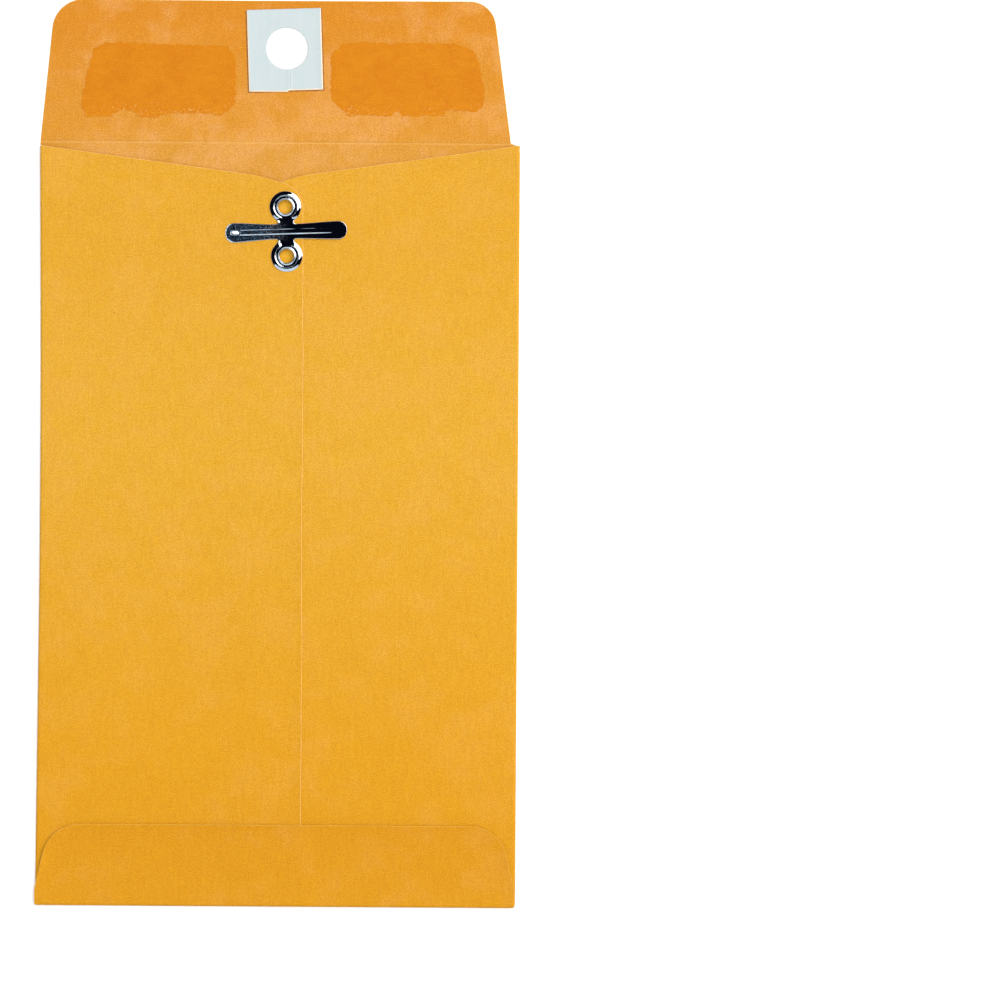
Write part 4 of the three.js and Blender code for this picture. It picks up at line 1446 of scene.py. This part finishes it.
TABLE_SIZE = 30
TABLE_LEVEL = -0.00004
bpy.ops.mesh.primitive_plane_add(size=TABLE_SIZE, location=(0, 0, TABLE_LEVEL))
table = bpy.context.object
table.name = "table_top"
table.data.materials.append(table_top())


def soft_box(name, azimuth, off_zenith, distance, width, height, radiance, colour, glossy=True):
    """An area light, in metres, that faces the envelope's middle. radiance is what a mirror would
    show."""
    lamp = bpy.data.lights.new(name, "AREA")
    lamp.shape, lamp.size, lamp.size_y = "RECTANGLE", width, height
    lamp.energy = radiance * math.pi * width * height
    lamp.color = colour
    holder = bpy.data.objects.new(name, lamp)
    bpy.context.scene.collection.objects.link(holder)
    a, t = math.radians(azimuth), math.radians(off_zenith)
    away = Vector((math.sin(t) * math.cos(a), math.sin(t) * math.sin(a), math.cos(t)))
    holder.location = away * distance
    holder.rotation_euler = away.to_track_quat("Z", "Y").to_euler()
    holder.visible_glossy = glossy
    holder.visible_camera = False


WARM_WHITE = (1.0, 0.99, 0.98)
COOL_WHITE = (0.80, 0.93, 1.0)
soft_box("overhead soft box", azimuth=0, off_zenith=0, distance=2.0, width=2.4, height=2.4,
         radiance=2.65, colour=WARM_WHITE, glossy=False)
soft_box("main soft box", azimuth=36, off_zenith=46, distance=1.9, width=1.75, height=1.75,
         radiance=4.05, colour=WARM_WHITE)
soft_box("foot soft box", azimuth=-92, off_zenith=52, distance=1.9, width=3.5, height=1.3,
         radiance=0.95, colour=COOL_WHITE)

# The room is dark overhead and pale towards the horizon, which shows in the metal. The camera
# sees an even pale backdrop.
HORIZON_TOP = 0.25
DARK_FROM = 0.31
HORIZON = (1.05, 1.20, 1.30)
OVERHEAD = (0.002, 0.003, 0.007)
BACKDROP = (0.9, 0.9, 0.9)
world = bpy.data.worlds.new("studio")
bpy.context.scene.world = world
world.use_nodes = True
sky = world.node_tree
sky.nodes.clear()
spot = add_node(sky, "ShaderNodeTexCoord")
height = add_node(sky, "ShaderNodeSeparateXYZ", {}, [spot.outputs["Generated"]])
walls = add_node(sky, "ShaderNodeValToRGB", {"stops": [(HORIZON_TOP, HORIZON), (DARK_FROM, OVERHEAD)]},
                 [height.outputs[2]])
room = add_node(sky, "ShaderNodeBackground", {}, [walls.outputs[0]])
seen = add_node(sky, "ShaderNodeBackground", {}, [BACKDROP])
which = add_node(sky, "ShaderNodeLightPath")
final = add_node(sky, "ShaderNodeMixShader", {},
                 [which.outputs["Is Camera Ray"], room.outputs[0], seen.outputs[0]])
add_node(sky, "ShaderNodeOutputWorld", {}, [final.outputs[0]])
bpy.context.scene.view_settings.view_transform = "Standard"

# The camera hangs straight above the picture's middle. MIDDLE_PIXEL is where the envelope's own
# middle comes in a picture of 1000 by 1000 pixels.
PICTURE = 1000
PIXELS_PER_MM = 4.725
ROLL = math.radians(0.38)
MIDDLE_PIXEL = (278.0, 453.3)
VIEW_HEIGHT = 1.6
ENVELOPE_LEVEL = 0.001
SENSOR = 36
right = (PICTURE / 2 - MIDDLE_PIXEL[0]) / PIXELS_PER_MM
up = -(PICTURE / 2 - MIDDLE_PIXEL[1]) / PIXELS_PER_MM
aim_x = right * math.cos(ROLL) - up * math.sin(ROLL)
aim_y = right * math.sin(ROLL) + up * math.cos(ROLL)
lens = bpy.data.cameras.new("camera")
lens.sensor_width = SENSOR
lens.lens = SENSOR * (VIEW_HEIGHT - ENVELOPE_LEVEL) / (PICTURE / PIXELS_PER_MM * MM)
lens.clip_start = 0.05
lens.clip_end = 60
camera = bpy.data.objects.new("camera", lens)
bpy.context.scene.collection.objects.link(camera)
camera.location = (aim_x * MM, aim_y * MM, VIEW_HEIGHT)
camera.rotation_euler = (0, 0, ROLL)
bpy.context.scene.camera = camera
